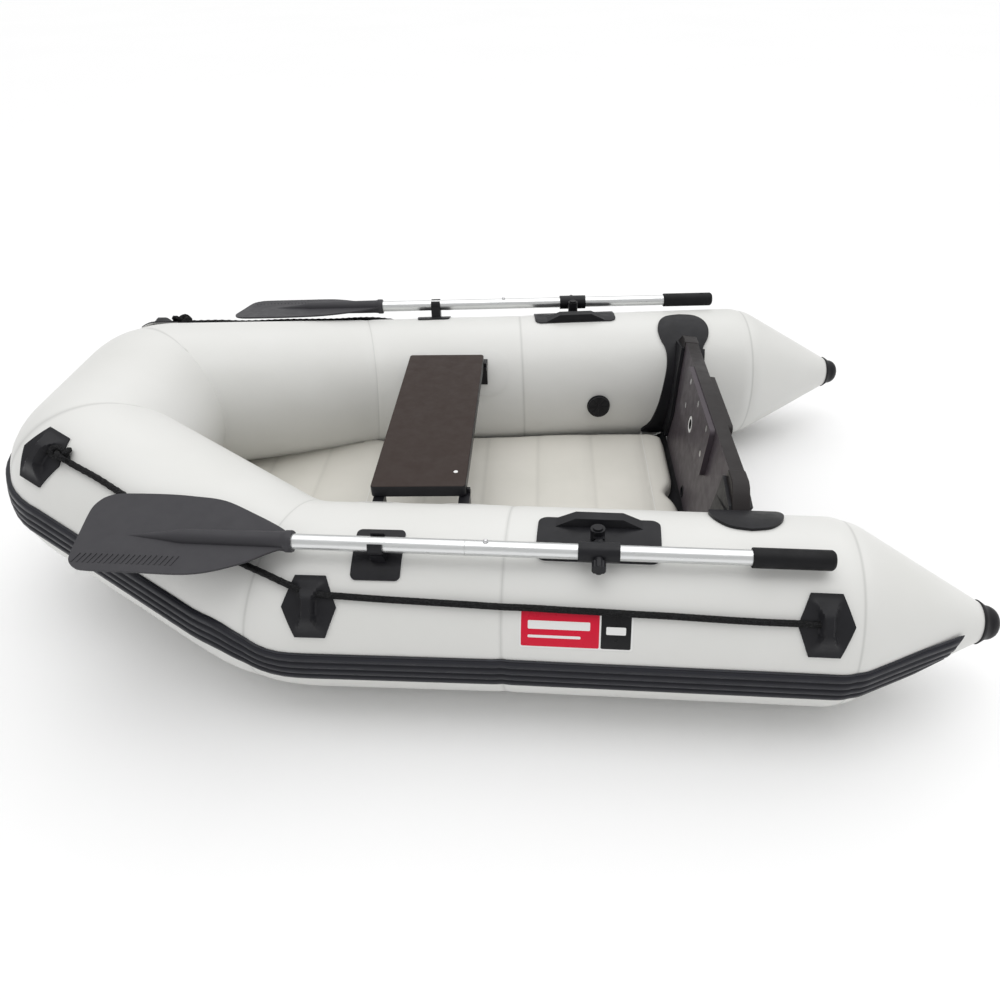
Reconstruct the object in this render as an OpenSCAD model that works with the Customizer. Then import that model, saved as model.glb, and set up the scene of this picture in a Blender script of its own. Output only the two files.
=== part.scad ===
// Inflatable tender with a moulded transom, an air deck, a bench seat and a pair of oars.
// +X points aft, +Y to starboard and +Z up. The origin is under the middle of the hull.

/* [Hull] */
// Overall length of the hull
hull_len = 2000; // [1950:10:2150]
// Diameter of the side tubes
tube_d = 360; // [340:5:370]
// Thickness of the coated fabric
skin_t = 1.2; // [0.8:0.1:2]
// Half length of the bow crosspiece, from the centreline to its corner
bow_half = 180; // [160:5:200]
// Height that the bow corner stands above the side tubes
bow_lift = 105; // [80:5:120]
// Distance from the stem to the shoulder seam
shoulder_x = 640; // [600:10:680]
// Distance from the centreline to the tube axis at the shoulder
shoulder_y = 442; // [430:2:460]
// Distance from the stem to the waist seam
waist_x = 1070; // [1050:10:1090]
// Distance from the centreline to the tube axis at the waist
waist_y = 464; // [450:2:480]
// Length of a stern cone with its cap
cone_len = 310; // [290:5:330]
// Distance from the centreline to the tube axis at the stern cone
stern_y = 508; // [495:2:520]
// Radius of the stern cone where its tip is closed
tip_r = 40; // [35:1:50]

/* [Deck and bottom] */
// Height of the air deck's top face
deck_top = 95; // [85:1:100]
// Thickness of the air deck
deck_t = 58; // [50:1:60]
// Number of webs inside the air deck
web_count = 8; // [5:1:10]
// Thickness of the bottom sheet
bottom_t = 1.6; // [1:0.1:2.5]

/* [Transom] */
// Thickness of the transom board
board_t = 31; // [25:1:35]
// Height of the transom's top edge
board_top = 368; // [355:1:380]
// Distance from the stem to the board's front face at its top
board_x = 1504; // [1490:2:1530]
// Rake of the transom, its top leaning aft
rake = 6.3; // [3:0.1:9]
// Width of the motor pad plates
pad_w = 250; // [200:5:280]
// Height of the motor pad plates
pad_h = 118; // [100:1:125]
// Thickness of each motor pad plate
pad_t = 12; // [8:1:14]
// Diameter of the bolts that hold the pad plates
bolt_d = 8; // [6:1:10]
// Diameter of the drain hole
drain_d = 30; // [24:1:32]

/* [Seat] */
// Length of the seat board, across the boat
seat_len = 610; // [590:5:630]
// Width of the seat board
seat_w = 192; // [180:2:200]
// Thickness of the seat board
seat_t = 26; // [22:1:30]
// Height of the seat's top face
seat_top = 336; // [326:1:346]
// Distance from the stem to the seat's front edge
seat_x = 787; // [760:5:820]

/* [Oars] */
// Diameter of the oar shaft
shaft_d = 28; // [26:1:30]
// Wall of the oar shaft tube
shaft_wall = 1.5; // [1:0.1:2]
// Length of the shaft between the blade's collar and the grip's end
loom_len = 942; // [900:2:980]
// Distance from the collar to the joint of the two shaft halves
joint_u = 311; // [280:5:340]
// Distance from the collar to the middle of the oarlock sleeve
lock_u = 542; // [530:2:560]
// Length of the grip
grip_len = 140; // [120:5:160]
// Diameter of the grip
grip_d = 36; // [33:1:38]
// Length of the blade beyond the collar
blade_len = 380; // [340:5:400]
// Width of the blade
blade_w = 190; // [170:2:200]
// Thickness of the blade
blade_t = 4; // [3:0.5:6]

/* [Fittings] */
// Length of an oarlock base
base_len = 222; // [200:2:230]
// Width of an oarlock base
base_w = 104; // [96:2:110]
// Diameter of the oarlock's swing pin
swing_d = 12; // [10:1:14]
// Length of the oarlock sleeve
sleeve_len = 72; // [64:2:80]
// Width of a grab rope pad
hex_w = 97; // [90:1:104]
// Height of a grab rope pad
hex_h = 110; // [100:1:116]
// Diameter of the grab rope
rope_d = 9; // [8:1:10]
// Diameter of an inflation valve's flange
valve_d = 62; // [56:1:66]
// Width of the rub strake
strake_w = 70; // [60:2:80]

/* [Clearances] */
// Gap between glued pieces and the tubes
glue_gap = 0.3; // [0.2:0.05:0.5]
// Gap around a turning or sliding piece, on the radius
run_gap = 0.3; // [0.2:0.05:0.5]

/* [Hidden] */
$fn = 64;
big = 3000;
R = tube_d / 2;
strake_t = 7;
cx = -(hull_len - strake_t - glue_gap) / 2;
stern_x = hull_len - cone_len;
bow_x = R;
tip_x = hull_len - 30;
tip_y = stern_y + 12;
end_cap_start = 252;
P0 = [bow_x + cx, bow_half, R + bow_lift];
P1 = [shoulder_x + cx, shoulder_y, R];
P2 = [waist_x + cx, waist_y, R];
P3 = [stern_x + cx, stern_y, R];
P4 = [tip_x + cx, tip_y, R];
PORT = -1;
STARBOARD = 1;
SIDES = [PORT, STARBOARD];

// ---- Vectors ----
function unit(v) = v / norm(v);
function side_of(p, side) = [p.x, side * p.y, p.z];
function dir(a, b) = unit(b - a);
function azimuth(v) = atan2(v.y, v.x);
function rise(v) = asin(v.z / norm(v));

// Puts local +X along the line from a to b, with local +Z as near to up as it goes.
module along(a, b)
    translate(a) rotate([0, -rise(b - a), azimuth(b - a)]) children();

// The half of space behind (-1) or ahead of (+1) a plane through p with normal n.
module half_space(p, n, keep)
    translate(p) rotate([0, -rise(n), azimuth(n)])
        translate([keep > 0 ? glue_gap / 2 : -big - glue_gap / 2, -big / 2, -big / 2])
            cube(big);

// ---- Hull tubes ----
// Section i of the ring: 0 bow crosspiece, 1 diagonal, 2 middle, 3 aft.
function sec_a(i, side) = i == 0 ? side_of(P0, PORT) : side_of([P0, P1, P2][i - 1], side);
function sec_b(i, side) = i == 0 ? side_of(P0, STARBOARD) : side_of([P1, P2, P3][i - 1], side);
function sec_dir(i, side) = dir(sec_a(i, side), sec_b(i, side));
// Directions of the neighbours, running the same way along the ring as the section does.
function dir_before(i, side) = i == 0 ? -sec_dir(1, PORT)
    : i == 1 ? [0, side, 0] : sec_dir(i - 1, side);
function dir_after(i, side) = i == 0 ? sec_dir(1, STARBOARD)
    : i < 3 ? sec_dir(i + 1, side) : dir(side_of(P3, side), side_of(P4, side));
function plane_a(i, side) = unit(dir_before(i, side) + sec_dir(i, side));
function plane_b(i, side) = i < 3 ? unit(sec_dir(i, side) + dir_after(i, side)) : dir_after(i, side);

// Cuts a long piece to one section of the ring, between its two seams.
module cut_to_section(i, side)
    intersection() {
        children();
        half_space(sec_a(i, side), plane_a(i, side), 1);
        half_space(sec_b(i, side), plane_b(i, side), -1);
    }

// A round bar along a section, long enough to pass both seams.
module section_bar(i, side, r)
    along(sec_a(i, side), sec_b(i, side))
        translate([-R * 1.5, 0, 0]) rotate([0, 90, 0])
            cylinder(r = r, h = norm(sec_b(i, side) - sec_a(i, side)) + 3 * R, $fn = 96);

module tube_section(i, side)
    color([0.86, 0.87, 0.86])
        cut_to_section(i, side)
            difference() {
                section_bar(i, side, R);
                section_bar(i, side, R - skin_t);
                if (i == 3)
                    on_valve(side) cylinder(d = valve_neck + 1, h = 20, center = true);
            }

// The air chambers are parted by a bulkhead at the stem.
module bow_baffle()
    color([0.8, 0.81, 0.8])
        translate([P0.x, 0, P0.z]) rotate([90, 0, 0])
            cylinder(r = R - skin_t - glue_gap, h = skin_t, center = true, $fn = 96);

function cone_axis(side) = [side_of(P3, side), side_of(P4, side)];
cone_run = norm(P4 - P3);
function cone_r(s) = R + (tip_r - R) * s / cone_run;

module on_cone(side)
    along(cone_axis(side)[0], cone_axis(side)[1]) rotate([0, 90, 0]) children();

module stern_cone(side)
    color([0.86, 0.87, 0.86])
        on_cone(side)
            translate([0, 0, glue_gap / 2])
                difference() {
                    cylinder(r1 = R, r2 = tip_r, h = cone_run - glue_gap, $fn = 96);
                    translate([0, 0, -skin_t])
                        cylinder(r1 = R, r2 = tip_r - skin_t, h = cone_run - glue_gap, $fn = 96);
                }

// Rounded rubber cap over the tip of each cone.
module stern_end_caps() {
    cap_t = 3;
    nose = 30;
    color([0.09, 0.09, 0.1])
        for (side = SIDES)
            on_cone(side)
                difference() {
                    union() {
                        translate([0, 0, end_cap_start])
                            cylinder(r1 = cone_r(end_cap_start) + cap_t, r2 = tip_r + cap_t,
                                h = cone_run - end_cap_start, $fn = 96);
                        translate([0, 0, cone_run]) rotate_extrude($fn = 96)
                            intersection() {
                                scale((tip_r + cap_t) / 100) circle(100, $fn = 96);
                                square([tip_r + cap_t, nose - 1.5]);
                            }
                    }
                    translate([0, 0, -glue_gap])
                        cylinder(r1 = R + glue_gap, r2 = tip_r + glue_gap, h = cone_run + 2 * glue_gap,
                            $fn = 96);
                }
}

// ---- Pieces laid on a tube ----
// Local frame on a section: origin on the tube's axis at distance s from its first seam,
// X along the tube, Z out through the skin at angle ang outboard of the top.
module on_tube(i, side, s, ang)
    along(sec_a(i, side), sec_b(i, side)) translate([s, 0, 0]) rotate([-side * ang, 0, 0])
        children();

// A patch of even thickness, its outline drawn in 2D as seen from outside.
module tube_patch(t, lift = glue_gap, len = 400)
    intersection() {
        translate([-len / 2, 0, 0]) rotate([0, 90, 0])
            difference() {
                cylinder(r = R + lift + t, h = len, $fn = 96);
                translate([0, 0, -1]) cylinder(r = R + lift, h = len + 2, $fn = 96);
            }
        linear_extrude(R + lift + t + 1) children();
    }

module rounded_rect(w, h, r) {
    square([w - 2 * r, h], center = true);
    square([w, h - 2 * r], center = true);
    for (x = [-1, 1], y = [-1, 1])
        translate([x * (w / 2 - r), y * (h / 2 - r)]) circle(r, $fn = 32);
}

// ---- Rub strake ----
strake_angle = strake_w / R * 180 / PI;
function strake_mid(i) = [80, 84, 96, 96][i];

module wedge(mid, side)
    rotate([-side * mid, 0, 0])
        rotate([0, 90, 0])
            linear_extrude(2 * big, center = true)
                polygon([[0, 0], for (k = [-1, 0, 1])
                    let (a = 180 + k * strake_angle / 2) 2 * R * [cos(a), sin(a)]]);

module strake_section(i, side)
    cut_to_section(i, side)
        intersection() {
            difference() {
                section_bar(i, side, R + glue_gap + strake_t);
                section_bar(i, side, R + glue_gap);
            }
            along(sec_a(i, side), sec_b(i, side)) wedge(strake_mid(i), i == 0 ? PORT : side);
        }

module strake_on_cone(side) {
    run = 218;
    along(cone_axis(side)[0], cone_axis(side)[1])
        intersection() {
            rotate([0, 90, 0])
                difference() {
                    translate([0, 0, glue_gap / 2])
                        cylinder(r1 = R + glue_gap + strake_t, r2 = cone_r(run) + glue_gap + strake_t,
                            h = run, $fn = 96);
                    translate([0, 0, -1])
                        cylinder(r1 = R + glue_gap + 0.5, r2 = cone_r(run + 2) + glue_gap, h = run + 3,
                            $fn = 96);
                }
            wedge(strake_mid(3), side);
        }
}

module rub_strake()
    color([0.1, 0.1, 0.12]) {
        strake_section(0, PORT);
        for (side = SIDES) {
            for (i = [1 : 3]) strake_section(i, side);
            strake_on_cone(side);
        }
    }

// ---- Air deck and bottom ----
// Distance from the centreline to the tube's inner side, level with height z.
function inner_y(x, z) =
    let (p = x < P1.x ? P0 : x < P2.x ? P1 : P2, q = x < P1.x ? P1 : x < P2.x ? P2 : P3,
        f = (x - p.x) / (q.x - p.x), c = p + f * (q - p), h = abs(z - c.z))
    c.y - (h < R ? sqrt(R * R - h * h) : 0) * (x <= P1.x ? 1.15 : 1);

deck_front = -640;
deck_aft = board_x + cx - 40;
deck_gap = 3;
function deck_half(x) = inner_y(x, deck_top) - deck_gap;

module deck_outline(inset = 0) {
    r = 45;
    xs = [-560, -460, P1.x, P1.x + 70, P2.x, deck_aft - r];
    nose_half = 60;
    polygon([[deck_front + inset, -nose_half], for (x = xs) [x, -deck_half(x) + inset],
        [deck_aft - inset, -deck_half(deck_aft) + r], [deck_aft - inset, deck_half(deck_aft) - r],
        for (k = [len(xs) - 1 : -1 : 0]) [xs[k], deck_half(xs[k]) - inset],
        [deck_front + inset, nose_half]]);
}

module air_deck()
    color([0.8, 0.79, 0.76])
        translate([0, 0, deck_top - deck_t])
            difference() {
                linear_extrude(deck_t) deck_outline();
                translate([0, 0, skin_t]) linear_extrude(deck_t - 2 * skin_t) deck_outline(skin_t);
            }

// Upright webs that hold the deck's two faces together.
module deck_webs() {
    first_x = -420;
    pitch = (deck_aft - 60 - first_x) / (web_count - 1);
    color([0.7, 0.7, 0.68])
        for (k = [0 : web_count - 1]) {
            x = first_x + k * pitch;
            half = deck_half(x) - 12;
            translate([x, -half, deck_top - deck_t + skin_t + glue_gap])
                cube([skin_t, 2 * half, deck_t - 2 * (skin_t + glue_gap)]);
        }
}

// The bottom sheet lies just under the deck and is bonded to the tubes along its edges.
module bottom_sheet() {
    z = deck_top - deck_t - bottom_t - glue_gap;
    lap = 4;
    xs = [-560, -460, P1.x, P1.x + 70, P2.x, deck_aft - 10];
    color([0.55, 0.56, 0.57])
        translate([0, 0, z])
            difference() {
                linear_extrude(bottom_t)
                    polygon([for (x = xs) [x, -inner_y(x, z) - lap],
                        for (k = [len(xs) - 1 : -1 : 0]) [xs[k], inner_y(xs[k], z) + lap]]);
                translate([0, 0, -z])
                    for (side = SIDES, i = [1 : 3]) section_bar(i, side, R + glue_gap);
            }
}

// ---- Transom ----
// Local frame of the board: origin on the front face at the top edge, Z up the rake, X aft.
module on_transom()
    translate([board_x + cx, 0, board_top]) rotate([0, rake, 0]) children();

board_h = 300;
board_ends = 26;
function board_half(z) = inner_y(board_x + cx + board_t / 2, z) - board_ends;
// Heights where the board's end is set by the tube: above, level with and below its axis.
end_zs = [R * 5 / 3, R, R * 5 / 9];
pad_drop = 2;
inner_pad_w = 320;
inner_pad_y = 10;

// Outline of the board, drawn across (x) and up (y) from its top edge.
module board_outline(grow = 0) {
    half = [for (p = [[338, 0], [358, -12], [board_half(end_zs[0]) - 14, end_zs[0] - board_top],
        [board_half(end_zs[1]), end_zs[1] - board_top], [board_half(end_zs[2]), end_zs[2] - board_top],
        [200, -board_h]]) [p.x + grow, p.y]];
    polygon([for (p = half) p, for (k = [len(half) - 1 : -1 : 0]) [-half[k].x, half[k].y]]);
}

module plate(t) rotate([90, 0, 90]) linear_extrude(t) children();

// A round bar through the board, at y across and z below the top edge.
module through_bar(y, z, d) translate([0, y, z]) rotate([0, 90, 0]) cylinder(d = d, h = 200, center = true);

bolt_spots = [[-112, -18], [0, -18], [112, -18], [-112, -82], [112, -82]];
drain_z = -262;
line_y = 28;
line_z = -88;
line_d = 24;
grommet_d = line_d + 6;

head_d = bolt_d * 1.9;
head_h = 4;
nut_h = 6;
flange_d = grommet_d + 10;
flange_t = 3;

module board_holes() {
    for (p = bolt_spots) through_bar(p.x, p.y, bolt_d + 2 * run_gap);
    through_bar(line_y, line_z, grommet_d + 2 * glue_gap);
}

// Round recess in a pad plate's outer face.
module recess(at, d, deep) translate([-deep, at.x, at.y]) rotate([0, 90, 0]) cylinder(d = d + 2 * run_gap, h = deep + 1);

module transom_board()
    color([0.22, 0.21, 0.24])
        on_transom()
            difference() {
                plate(board_t) board_outline();
                board_holes();
                through_bar(0, drain_z, drain_d + 2 * glue_gap);
            }

// Pad plate with its outer face at x = 0, the heads of its bolts let in below the face.
module pad_plate(w, y, deep)
    difference() {
        translate([-pad_t, 0, 0]) plate(pad_t) translate([y, -pad_drop - pad_h / 2]) rounded_rect(w, pad_h, 12);
        board_holes();
        for (p = bolt_spots) recess(p, head_d, deep + 2 * run_gap);
    }

module transom_inner_pad()
    color([0.2, 0.19, 0.22])
        on_transom() translate([-pad_t - glue_gap, 0, 0]) mirror([1, 0, 0])
            difference() {
                pad_plate(inner_pad_w, inner_pad_y, head_h);
                recess([line_y, line_z], flange_d, flange_t + 2 * run_gap);
            }

module transom_outer_pad()
    color([0.12, 0.12, 0.13])
        on_transom() translate([board_t + glue_gap + pad_t, 0, 0]) pad_plate(pad_w, 0, nut_h);

pads_through = board_t + 2 * (pad_t + glue_gap);

module transom_pad_bolts()
    color("silver")
        on_transom()
            for (p = bolt_spots)
                translate([-pad_t - glue_gap + run_gap, p.x, p.y]) rotate([0, 90, 0]) {
                    cylinder(d = head_d, h = head_h);
                    cylinder(d = bolt_d, h = pads_through - 2 * run_gap);
                    translate([0, 0, pads_through - 2 * run_gap - nut_h]) cylinder(d = head_d, h = nut_h, $fn = 6);
                }

// White sleeve that lines the hole for the outboard motor's safety line.
module line_grommet()
    color([0.88, 0.88, 0.87])
        on_transom()
            translate([-pad_t - glue_gap + run_gap, line_y, line_z]) rotate([0, 90, 0])
                difference() {
                    union() {
                        cylinder(d = flange_d, h = flange_t);
                        cylinder(d = grommet_d, h = pads_through - 2 * run_gap);
                    }
                    cylinder(d = line_d, h = 3 * pads_through, center = true);
                }

// Saddle glued over the tube, with a channel that grips the board's end.
module transom_holder(side) {
    holder_t = 5;
    wall = 9;
    bite = 1.5;
    saddle_turn = 55;
    grip = 34;
    strip = 42;
    s_mid = board_x + cx + board_t / 2 - P2.x + 4;
    color([0.12, 0.12, 0.14]) {
        on_tube(3, side, s_mid, -saddle_turn)
            tube_patch(holder_t) {
                polygon([[-strip, side * 75], [strip, side * 75], [strip - 24, side * -150],
                    [-strip - 24, side * -150]]);
                difference() {
                    translate([0, side * 67]) scale([0.86, 1]) circle(80, $fn = 48);
                    translate([0, side * -33]) square(200, center = true);
                }
            }
        difference() {
            on_transom()
                difference() {
                    translate([-wall, 0, 0]) plate(board_t + 2 * wall)
                        polygon([for (p = [[298, -16], [380, -32], [430, -70], [430, -200], [370, -268],
                            [board_half(end_zs[2]) - grip, -268], [board_half(end_zs[1]) - grip, -190],
                            [board_half(end_zs[0]) - 14 - grip, -68]]) [side * p.x, p.y]]);
                    translate([-glue_gap, 0, 0]) plate(board_t + 2 * glue_gap) board_outline(glue_gap);
                }
            section_bar(3, side, R + glue_gap + bite);
        }
    }
}

// Drain through the board's foot, its plug pulled out from astern.
drain_flange = 4;
module on_drain() on_transom() translate([board_t + glue_gap, 0, drain_z]) rotate([0, 90, 0]) children();

module drain_socket()
    color([0.1, 0.1, 0.11])
        on_drain()
            difference() {
                union() {
                    cylinder(d = drain_d + 16, h = drain_flange);
                    translate([0, 0, -board_t - 2]) cylinder(d = drain_d, h = board_t + drain_flange);
                }
                cylinder(d = drain_d - 8, h = 3 * board_t, center = true);
            }

module drain_plug() {
    stem = 25;
    color([0.08, 0.08, 0.09])
        on_drain()
            translate([0, 0, drain_flange + glue_gap]) {
                translate([0, 0, -stem]) cylinder(d = drain_d - 8 - 2 * run_gap, h = stem + 1);
                cylinder(d = drain_d + 2, h = 6);
                translate([-3, -drain_d / 2, 5]) cube([6, drain_d, 9]);
            }
}

// ---- Seat ----
hook_w = 22;
hook_edge = 4;
hook_foot = 255;
tongue_t = 8;
tongue_h = 10;
hook_y = seat_len / 2 - 29;
tongue_y = hook_y + 12;
shelf_z = seat_top - seat_t - glue_gap;
hook_xs = [seat_x + cx + hook_edge, seat_x + cx + seat_w + 7 - hook_w];

module seat_board()
    color([0.17, 0.14, 0.13])
        difference() {
            translate([seat_x + cx + seat_w / 2, 0, seat_top - seat_t])
                linear_extrude(seat_t) rounded_rect(seat_w, seat_len, 8);
            for (side = SIDES)
                translate([seat_x + cx - 1, side * tongue_y - tongue_t / 2 - 1.5, shelf_z - 1])
                    cube([seat_w + 2, tongue_t + 3, tongue_h + 3]);
        }

module seat_hook(side, x)
    translate([x, 0, 0])
        difference() {
            union() {
                rotate([90, 0, 90]) linear_extrude(hook_w)
                    polygon([for (p = [[hook_y, shelf_z], [shoulder_y - 102, shelf_z],
                        [shoulder_y - 102, hook_foot], [hook_y + 16, hook_foot],
                        [hook_y + 12, shelf_z - 12], [hook_y, shelf_z - 8]]) [side * p.x, p.y]]);
                translate([0, side * tongue_y - tongue_t / 2, shelf_z - 1])
                    cube([hook_w, tongue_t, tongue_h + 1]);
            }
            translate([-x, 0, 0]) section_bar(2, side, R + glue_gap + 1.2 + glue_gap);
        }

module seat_hooks()
    color([0.07, 0.07, 0.08])
        for (side = SIDES, x = hook_xs) seat_hook(side, x);

// Round reinforcement patches that carry the hooks.
module seat_hook_patches()
    color([0.83, 0.84, 0.83])
        for (side = SIDES, x = hook_xs)
            on_tube(2, side, (x + hook_w / 2 - P1.x), -56)
                tube_patch(1.2) circle(r = 62, $fn = 48);

// ---- Valves ----
valve_s = 200;
valve_ang = -88;
poppet_d = 16;
valve_neck = 34;
module on_valve(side) on_tube(3, side, valve_s, valve_ang) translate([0, 0, R]) children();

module valve_body(side)
    color([0.1, 0.1, 0.11])
        on_valve(side)
            difference() {
                union() {
                    translate([0, 0, 0.4]) cylinder(d = valve_d, h = 4.6);
                    translate([0, 0, -30]) cylinder(d = valve_neck, h = 34);
                    translate([0, 0, -skin_t - 5]) cylinder(d = valve_d - 8, h = 2.6);
                }
                translate([0, 0, -31]) cylinder(d = poppet_d + 2 * run_gap, h = 12);
                translate([0, 0, -20]) cylinder(d = 26, h = 40);
            }

module valve_poppet(side)
    color([0.75, 0.75, 0.75])
        on_valve(side) {
            translate([0, 0, -26]) cylinder(d = poppet_d, h = 20);
            translate([0, 0, -15]) cylinder(d = 22, h = 3);
        }

module valve_cap(side)
    color([0.06, 0.06, 0.07])
        on_valve(side) {
            translate([0, 0, 5.3]) cylinder(d = valve_d - 4, h = 7);
            translate([0, 0, -4]) difference() {
                cylinder(d = 25.2, h = 10);
                translate([0, 0, -1]) cylinder(d = 19, h = 9);
            }
            for (a = [0 : 45 : 135])
                rotate(a) translate([-(valve_d - 10) / 2, -1.5, 12]) cube([valve_d - 10, 3, 2]);
        }

// ---- Oars ----
// The oar lies along the tube, its collar forward and its grip aft.
collar_y = 532;
collar_z = tube_d + 17;
grip_y = 587;
grip_z = tube_d + 11;
collar_x = 690 + cx;
starboard_shift = -14;
function shift(side) = side < 0 ? 0 : starboard_shift;
function oar_a(side) = [collar_x + shift(side), side * collar_y, collar_z];
function oar_b(side) = [collar_x + shift(side) + 925, side * grip_y, grip_z];
blade_roll = 8;
module on_oar(side) along(oar_a(side), oar_b(side)) children();
module shaft_bar(r, u0, u1) translate([u0, 0, 0]) rotate([0, 90, 0]) cylinder(r = r, h = u1 - u0);

socket_len = 95;
socket_wall = 4;

// Outline of the blade, tip towards -X. The wide half is inboard.
module blade_outline(side) {
    wide = blade_w * 0.55;
    slim = blade_w - wide;
    outline = [[-4, 17], [-26, 34], [-73, 62], [-141, wide - 9], [-203, wide - 1], [-260, wide],
        [-blade_len + 42, wide - 1], [-blade_len + 18, wide - 8], [-blade_len + 5, wide - 24],
        [-blade_len, wide - 46], [-blade_len + 8, 0], [-blade_len + 16, -slim + 26],
        [-blade_len + 25, -slim + 9], [-blade_len + 44, -slim], [-240, -slim],
        [-139, -slim + 1], [-65, -56], [-26, -30], [-4, -17]];
    polygon([for (p = outline) [p.x, -side * p.y]]);
}

module oar_blade(side)
    color([0.16, 0.16, 0.17])
        on_oar(side) rotate([-side * blade_roll, 0, 0])
            difference() {
                union() {
                    translate([0, 0, -blade_t / 2]) linear_extrude(blade_t) blade_outline(side);
                    shaft_bar(shaft_d / 2 + socket_wall, -socket_len, 8);
                    translate([-socket_len, 0, 0]) rotate([0, -90, 0])
                        cylinder(r1 = shaft_d / 2 + socket_wall, r2 = 4, h = 195);
                }
                shaft_bar(shaft_d / 2 + glue_gap, -socket_len + 5, 10);
            }

plug_len = 90;
module shaft_front(side)
    color([0.83, 0.84, 0.85])
        on_oar(side)
            difference() {
                shaft_bar(shaft_d / 2, -socket_len + 6, joint_u);
                shaft_bar(shaft_d / 2 - shaft_wall, -socket_len + 5, joint_u + 1);
            }

button_u = joint_u + 36;
button_d = 9;
module shaft_rear(side)
    color([0.83, 0.84, 0.85])
        on_oar(side)
            difference() {
                union() {
                    difference() {
                        shaft_bar(shaft_d / 2, joint_u + glue_gap, loom_len - 6);
                        shaft_bar(shaft_d / 2 - shaft_wall, joint_u, loom_len);
                    }
                    // plug that slides into the front half
                    difference() {
                        shaft_bar(shaft_d / 2 - shaft_wall - run_gap, joint_u - plug_len, joint_u + 55);
                        shaft_bar(shaft_d / 2 - 2 * shaft_wall - run_gap, joint_u - plug_len - 1, joint_u + 56);
                    }
                    shaft_bar(shaft_d / 2 - shaft_wall + 0.05, joint_u + 20, joint_u + 26);
                }
                shaft_bar(shaft_d / 2 - 2 * shaft_wall - run_gap, joint_u - plug_len - 1, joint_u + 56);
                translate([button_u, 0, 0]) cylinder(d = button_d + 2 * run_gap, h = shaft_d);
            }

button_rise = 5;
module snap_button(side)
    color("gainsboro")
        on_oar(side)
            translate([button_u, 0, shaft_d / 2 - 9]) {
                cylinder(d = button_d, h = 9 + button_rise - 2);
                translate([0, 0, 9 + button_rise - 2]) cylinder(d1 = button_d, d2 = button_d - 4, h = 2);
            }

module oar_grip(side)
    color([0.07, 0.07, 0.08])
        on_oar(side)
            difference() {
                union() {
                    shaft_bar(grip_d / 2, loom_len - grip_len, loom_len - 5);
                    translate([loom_len - 5, 0, 0]) rotate([0, 90, 0])
                        cylinder(r1 = grip_d / 2, r2 = grip_d / 2 - 4, h = 5);
                }
                shaft_bar(shaft_d / 2 + glue_gap, loom_len - grip_len - 1, loom_len - 5);
            }

// ---- Oarlocks ----
// Everything turns about two crossed axes at the sleeve's middle: an upright swing pin
// beside the sleeve and a level tilt pin through the yoke.
function lock_at(side) =
    oar_a(side) + lock_u * dir(oar_a(side), oar_b(side));
base_ang = 9.5;
base_s = 167;
pin_in = 44;
hub_foot = -11;
hub_head = 18;
function swing_at(side) = lock_at(side) - [0, side * pin_in, 0];

module oarlock_base(side) {
    base_t = 4;
    ramp_rise = 4;
    boss_h = 30;
    color([0.1, 0.1, 0.12])
        difference() {
            union() {
                on_tube(3, side, base_s + shift(side), base_ang) {
                    tube_patch(base_t) rounded_rect(base_len, base_w, 18);
                    // raised bar beside the swing pin
                    translate([0, -side * 24, 0]) rotate([90, 0, 0])
                        linear_extrude(30, center = true)
                            polygon([[-88, R - 2], [-60, R + base_t + ramp_rise],
                                [60, R + base_t + ramp_rise], [88, R - 2]]);
                }
                translate(swing_at(side) + [0, 0, hub_foot - run_gap - boss_h])
                    cylinder(d = swing_d + 12, h = boss_h);
            }
            section_bar(3, side, R + glue_gap);
            translate(swing_at(side) + [0, 0, -60]) cylinder(d = swing_d + 2 * glue_gap, h = 120);
        }
}

pin_foot = -17;
module oarlock_pin(side)
    color("silver")
        translate(swing_at(side)) {
            translate([0, 0, pin_foot]) cylinder(d = swing_d, h = hub_head + 2 - pin_foot);
            translate([0, 0, hub_head + run_gap]) cylinder(d = swing_d + 6, h = 3);
        }

module oarlock_yoke(side)
    color([0.13, 0.13, 0.14])
        translate(lock_at(side))
            difference() {
                union() {
                    translate([0, -side * pin_in, hub_foot]) cylinder(d = swing_d + 14, h = hub_head - hub_foot);
                    rotate([0, 0, azimuth(oar_b(side) - oar_a(side))]) {
                        translate([-9, side > 0 ? -pin_in + 6 : 26.5, -9])
                            cube([18, pin_in - 32.5, 18]);
                        // tilt pin that reaches into the sleeve's boss
                        translate([0, side * -(pin_in - 8), 0]) rotate([side * -90, 0, 0])
                            cylinder(d = 8, h = pin_in - 8 - 20.5);
                    }
                }
                translate([0, -side * pin_in, -60]) cylinder(d = swing_d + 2 * run_gap, h = 120);
            }

sleeve_wall = 4;
knob_ang = 100;
module oar_sleeve(side)
    color([0.08, 0.08, 0.09])
        on_oar(side) translate([lock_u, 0, 0])
            difference() {
                union() {
                    shaft_bar(shaft_d / 2 + sleeve_wall + run_gap, -sleeve_len / 2, sleeve_len / 2);
                    // boss around the tilt pin
                    rotate([side * 90, 0, 0]) cylinder(d = 20, h = 26);
                    // boss for the clamp knob, low on the outboard side
                    rotate([-side * knob_ang, 0, 0]) cylinder(d = 16, h = 25);
                }
                shaft_bar(shaft_d / 2 + run_gap, -sleeve_len, sleeve_len);
                rotate([side * 90, 0, 0]) translate([0, 0, 20]) cylinder(d = 8 + 2 * run_gap, h = 10);
                rotate([-side * knob_ang, 0, 0]) cylinder(d = 6 + 2 * run_gap, h = 40);
            }

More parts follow.
